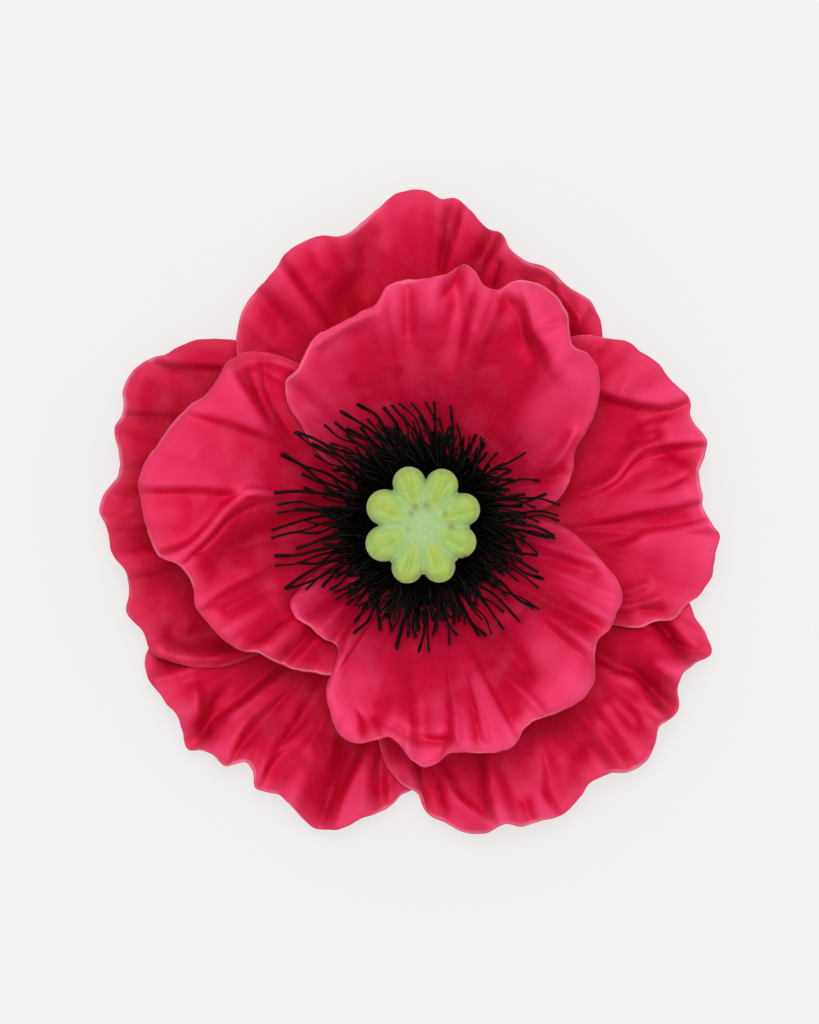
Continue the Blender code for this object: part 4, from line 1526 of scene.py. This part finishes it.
@dataclass
class SeedPod:
    """The green pod: a bulb under a cap of eight rounded lobes, with grooves between them."""

    finish: Material
    notches: tuple[Polar, ...] = (
        (-1.2, 10.8), (41.9, 11.0), (85.3, 10.3), (129, 10.3), (180.8, 9.9), (230.5, 11.0),
        (271.4, 11.2), (313.4, 11.2),
    )
    lobes: tuple[float, ...] = (13.75, 13.75, 13.65, 13.45, 13.75, 13.75, 13.8, 13.1)
    stains: tuple[tuple[float, float, float, float], ...] = (
        (111, 4.4, 0.9, 0.5), (76, 4.6, 0.9, 0.5), (26, 5.8, 0.6, 0.4), (356, 6.6, 0.9, 0.55),
        (133, 3.6, 0.7, 0.5), (196, 3.2, 0.8, 0.25), (324, 12.1, 0.45, 0.95), (154, 9.8, 0.2, 0.6),
        (70, 12.6, 0.5, 0.3), (120, 9.0, 0.3, 0.25),
    )
    under: tuple[Pair, ...] = ((0.995, -0.35), (0.96, -0.75), (0.88, -1.0), (0.78, -1.1))
    bulb: tuple[Pair, ...] = (
        (8.7, 23.6), (9.0, 22.4), (9.4, 20.8), (9.45, 19.2), (9.0, 17.4), (8.0, 15.8), (6.6, 14.4),
        (5.4, 13.8), (4.0, 13.65), (0.05, 13.65),
    )
    segments: int = 320
    top: float = 27.4

    def lobe_at(self, angle: np.ndarray) -> tuple[np.ndarray, np.ndarray]:
        """Places directions in their lobes.

        Args:
            angle: Directions.

        Returns:
            The place across the lobe from -1 to 1, and the outline's radius.
        """
        place, outline = np.zeros_like(angle), np.zeros_like(angle)
        count = len(self.notches)
        # Each lobe's end is a circle that nearly touches the lines through its two notches.
        for number in range(count):
            start, inner0 = self.notches[number]
            end, inner1 = self.notches[(number + 1) % count]
            end += 360 if end < start else 0
            turn = (angle - start) % 360
            inside = turn < end - start
            share = turn / (end - start)
            across = 2 * share - 1
            low = inner0 + (inner1 - inner0) * share
            half = math.radians((end - start) / 2)
            centre = self.lobes[number] / (1 + math.sin(half) / 0.985)
            size = self.lobes[number] - centre
            lean = half * across
            reach = np.sqrt(np.clip(size**2 - (centre * np.sin(lean)) ** 2, 0.01, None))
            round_lobe = np.maximum(centre * np.cos(lean) + reach, low)
            place = np.where(inside, across, place)
            outline = np.where(inside, round_lobe, outline)
        return place, outline

    def stained(self, x: np.ndarray, y: np.ndarray) -> np.ndarray:
        """How brown the cap is, by its spots.

        Args:
            x: Plan positions.
            y: Plan positions.

        Returns:
            The share of brown.
        """
        stain = np.zeros_like(x)
        for direction, distance, size, strength in self.stains:
            there = math.radians(direction)
            away = np.hypot(x - distance * math.cos(there), y - distance * math.sin(there))
            stain = np.maximum(stain, strength * np.exp(-((away / size) ** 2)))
        return stain

    def cap(
        self, angle: np.ndarray, share: np.ndarray
    ) -> tuple[np.ndarray, np.ndarray, dict[str, np.ndarray]]:
        """The cap's upper side.

        Args:
            angle: Directions, one for each column.
            share: Share of the way from the middle to the outline, one for each row.

        Returns:
            Radii, heights and corner values, each as rows by columns.
        """
        across, outline = (row[None, :] for row in self.lobe_at(angle))
        share = share[:, None]
        radius = outline * share
        # Each lobe puffs up between its furrows, more so the further out.
        puff = np.cos(0.5 * math.pi * np.abs(across) ** 1.35)
        lobed = ramp(1.5, 12.5, radius)
        height = self.top - 0.85 + 1.25 * puff * lobed + 0.35 * (1 - lobed)
        # A low rib runs along its middle, with a faint groove on either side.
        rib = np.exp(-((across / 0.09) ** 2))
        grooves = np.exp(-(((np.abs(across) - 0.28) / 0.09) ** 2))
        height = height + (0.20 * rib - 0.12 * grooves) * ramp(4, 8, radius)
        turn = np.radians(angle)
        x, y = radius * np.cos(turn), radius * np.sin(turn)
        wave = lattice_noise(x / 1.7, y / 1.7, 3)
        rough = lattice_noise(x / 0.7, y / 0.7, 8)
        height = height + 0.16 * wave * ramp(0, 6, radius) + 0.06 * rough
        # A shallow ring lies round the middle, and the rim is rolled over.
        height = height - 0.22 * np.exp(-((radius - 2.7) ** 2)) * (0.6 + 0.4 * puff)
        height = height - 1.3 * (1 - np.sqrt(np.clip(1 - ramp(0.74, 1.0, share) ** 2, 0, 1)))
        edge = 0.5 * ramp(0.90, 0.97, share)
        bloom = np.clip(0.9 * (1 - puff) + 0.8 * (1 - ramp(2.5, 7.0, radius)) + edge, 0, 1)
        return radius, height, {"bloom": bloom, "stain": self.stained(x, y)}

    def build(self) -> Object:
        """Makes the pod.

        Returns:
            The pod's object.
        """
        angle = np.linspace(0, 360, self.segments, endpoint=False)
        radius, height, values = self.cap(angle, np.linspace(0.004, 1.0, 90) ** 0.85)
        across, outline = self.lobe_at(angle)
        rings = [((outline * scale)[None, :], (height[-1] + drop)[None, :]) for scale, drop in self.under]
        ribs = (1 - 0.05 * np.abs(across) ** 3)[None, :]
        rings += [(size * ribs, np.full(ribs.shape, level)) for size, level in self.bulb]
        radii, levels = (np.concatenate(part) for part in zip((radius, height), *rings))
        below = np.zeros((len(rings), self.segments))
        bloom = np.concatenate([values["bloom"], below + 0.5])
        stain = np.concatenate([values["stain"], below])
        shape = Shape()
        shape.add_turned(radii, levels, np.radians(angle), bloom=bloom, stain=stain)
        return shape.build("pod", [self.finish], crease=70)


@dataclass
class Collar:
    """The dark lobed disc behind the pod, cupped a little, with a ragged rim."""

    finish: Material
    radius: float = 18.6
    hole: float = 7.3
    height: float = 13.6
    thick: float = 0.8
    lobes: int = 8
    first_lobe: float = 88.0
    segments: int = 240

    def build(self) -> Object:
        """Makes the collar.

        Returns:
            The collar's object.
        """
        angle = np.linspace(0, 360, self.segments, endpoint=False)
        turn = np.radians(angle)
        lobe = np.abs(np.cos(np.radians(angle - self.first_lobe) * self.lobes / 2)) ** 0.7
        rim = self.radius * (1 - 0.15 * (1 - lobe)) + 0.25 * lattice_noise(angle / 5, angle * 0, 9)
        share = np.linspace(0, 1, 26)[:, None]
        radius = self.hole + (rim[None, :] - self.hole) * share
        ribs = 0.10 * np.sin(np.radians(angle) * 48)[None, :] * ramp(0.2, 0.9, share)
        level = self.height + 0.4 + 1.6 * share**2 + ribs
        x, y = radius * np.cos(turn), radius * np.sin(turn)
        wave = 0.12 * lattice_noise(x / 2, y / 2, 21)
        top = np.stack([x, y, level + wave + self.thick / 2 - 0.1], axis=2)
        under = np.stack([x, y, level - self.thick / 2 + 0.1], axis=2)[::-1]
        # The upper and under sides make one closed loop of rings.
        loop = np.concatenate([top, under], axis=0)
        corners = loop.reshape(-1, 3)
        faces = grid_faces(len(loop) + 1, self.segments, closed=True) % len(corners)
        shape = Shape()
        shape.add(corners, [(faces, 0)])
        return shape.build("collar", [self.finish])


@dataclass
class Receptacle:
    """The turned green boss on the flower's back, with scars and a pithy cut foot."""

    finish: Material
    outline: tuple[Pair, ...] = (
        (0.05, 13.15), (3.5, 13.2), (6.2, 13.15), (6.7, 12.8), (6.75, 11.0), (6.6, 8.0), (6.65, 5.0),
        (6.75, 2.6), (6.9, 1.95), (7.6, 1.75), (8.3, 1.5), (8.55, 1.1), (8.5, 0.7), (8.1, 0.25),
        (7.7, 0.02), (7.0, 0.0), (5.6, 0.0), (5.2, 0.06), (4.8, 0.0), (3.2, 0.0), (2.6, 0.18),
        (2.0, 0.25), (1.0, 0.3), (0.05, 0.3),
    )
    segments: int = 160

    def build(self) -> Object:
        """Makes the receptacle.

        Returns:
            The receptacle's object.
        """
        line = smooth_curve(np.array(self.outline, float), 110)
        line[:, 1] = np.clip(line[:, 1], 0.0, 13.2)
        angle = np.linspace(0, 360, self.segments, endpoint=False)
        turn = np.radians(angle)
        # Sixteen faint ribs and an uneven skin, kept off the cut foot.
        wobble = 0.10 * np.sin(turn * 16) + 0.12 * lattice_noise(angle / 9, angle * 0, 31)
        side = (ramp(1.2, 2.2, line[:, 1]) * ramp(3, 6, line[:, 0]) * 0.8 + 0.2)[:, None]
        outer = ramp(5, 7, line[:, 0])[:, None]
        radius = line[:, :1] + wobble[None, :] * side * outer - 0.12 * outer
        level = np.broadcast_to(line[:, 1:], radius.shape)
        foot = (1 - ramp(0.1, 0.6, level)) * (1 - ramp(7.2, 7.8, radius))
        uneven = lattice_noise(radius, np.broadcast_to(angle / 8, radius.shape), 4)
        ring = 0.65 + 0.35 * np.cos(radius * 2.2 + 0.6 * uneven)
        pith = foot * ring + 0.15 * ramp(0.8, 1.2, level) * ramp(8.2, 8.5, radius)
        shape = Shape()
        shape.add_turned(radius, level, turn, pith=np.clip(pith, 0, 1))
        return shape.build("boss", [self.finish])


# ---------------------------------------------------------------- studio


@dataclass
class Studio:
    """A plain pale floor, soft light from above, and a camera that looks straight down."""

    distance: float = 1.2
    lens: float = 182.4
    aim: tuple[float, float] = (-0.00283, 0.00294)
    glow: float = 0.674
    floor_tone: float = 0.20
    zenith: float = 1.06
    horizon: float = 0.05
    key: float = 6.0

    def floor(self) -> None:
        """Lays a wide pale floor under the flower."""
        bpy.ops.mesh.primitive_plane_add(size=6.0, location=(0, 0, 0))
        plane = bpy.context.object
        plane.name = "floor"
        bench = NodeBench("floor_paint")
        grain = bench.stretch(bench.noise(30.0, 2.0), 0.3, 0.7, 0.98, 1.0)
        tone = self.floor_tone
        bench.feed("Base Color", bench.overlay(grain, (tone * 0.96,) * 3, (tone,) * 3))
        bench.put("Roughness", 0.9)
        bench.put("Specular IOR Level", 0.1)
        bench.put("Emission Color", (1, 1, 1, 1))
        bench.put("Emission Strength", self.glow)
        plane.data.materials.append(bench.material)

    def lights(self) -> None:
        """Hangs one large soft lamp almost overhead, under a sky that is brightest above."""
        world = bpy.data.worlds.new("sky")
        bpy.context.scene.world = world
        world.use_nodes = True
        nodes, links = world.node_tree.nodes, world.node_tree.links
        place = nodes.new("ShaderNodeTexCoord")
        split = nodes.new("ShaderNodeSeparateXYZ")
        rise = nodes.new("ShaderNodeMapRange")
        rise.inputs["From Min"].default_value = 0.0
        rise.inputs["From Max"].default_value = 1.0
        rise.inputs["To Min"].default_value = self.horizon
        rise.inputs["To Max"].default_value = self.zenith
        links.new(place.outputs["Generated"], split.inputs["Vector"])
        links.new(split.outputs["Z"], rise.inputs["Value"])
        back = nodes["Background"]
        back.inputs["Color"].default_value = (1, 1, 1, 1)
        links.new(rise.outputs["Result"], back.inputs["Strength"])
        self.lamp("key_light", (-0.02, 0.22, 1.25), 0.40, self.key)

    @staticmethod
    def lamp(name: str, place: tuple[float, float, float], size: float, power: float) -> None:
        """Adds one square soft lamp, aimed at the flower.

        Args:
            name: Its name.
            place: Where it hangs, in metres.
            size: Its side, in metres.
            power: Its power, in watts.
        """
        data = bpy.data.lights.new(name, "AREA")
        data.size = size
        data.energy = power
        lamp = bpy.data.objects.new(name, data)
        lamp.location = place
        lamp.rotation_euler = (-Vector(place)).to_track_quat("-Z", "Y").to_euler()
        bpy.context.scene.collection.objects.link(lamp)

    def camera(self) -> None:
        """Hangs the camera above the flower, looking down."""
        data = bpy.data.cameras.new("camera")
        data.sensor_width = 36.0
        data.lens = self.lens
        data.clip_end = 20.0
        camera = bpy.data.objects.new("camera", data)
        camera.location = (*self.aim, self.distance)
        bpy.context.scene.collection.objects.link(camera)
        bpy.context.scene.camera = camera

    def build(self) -> None:
        """Sets the whole studio up."""
        self.floor()
        self.lights()
        self.camera()
        bpy.context.scene.view_settings.view_transform = "Standard"


def place(piece: Object, node: str, slot: str) -> None:
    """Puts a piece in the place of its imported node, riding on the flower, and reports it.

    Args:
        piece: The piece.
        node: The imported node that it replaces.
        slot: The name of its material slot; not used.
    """
    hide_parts(node)
    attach(piece, BODY)
    log.info("%s: %d faces", piece.name, len(piece.data.polygons))


def main() -> None:
    """Builds the flower and its studio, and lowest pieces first."""
    logging.basicConfig(level=logging.INFO, format="%(message)s")
    Studio().build()
    place(Receptacle(StalkFinish().make()).build(), "receptacle", "stalk_green")
    stack = Stack()
    sheet = [PetalFinish().make(), CutEdgeFinish().make()]
    outer, inner = outer_petals(), inner_petals()
    # How far the inner petals reach, under and beside which the outer ones get painted shade.
    shade_reach = reach_of(inner)
    for petal in outer:
        petal.shade_reach = shade_reach
    for petal in outer + inner:
        place(petal.build(stack, sheet), petal.node, "petal_red")
    skin = DarkFinish("collar_skin", (0.0060, 0.0062, 0.0036), (0.0120, 0.0115, 0.0065), 0.55, 700.0)
    place(Collar(skin.make()).build(), "stamen_collar", "collar_black")
    place(SeedPod(PodFinish().make()).build(), "seed_pod", "pod_green")
    thread = DarkFinish("thread_black", (0.0014, 0.0010, 0.0009), (0.0062, 0.0042, 0.0034), 0.5, 900.0)
    for piece in Fringe(thread.make()).build(stack):
        place(piece, piece.name.replace("stamens", "stamen_tuft"), "fringe_black")


if __name__ == "__main__":
    main()
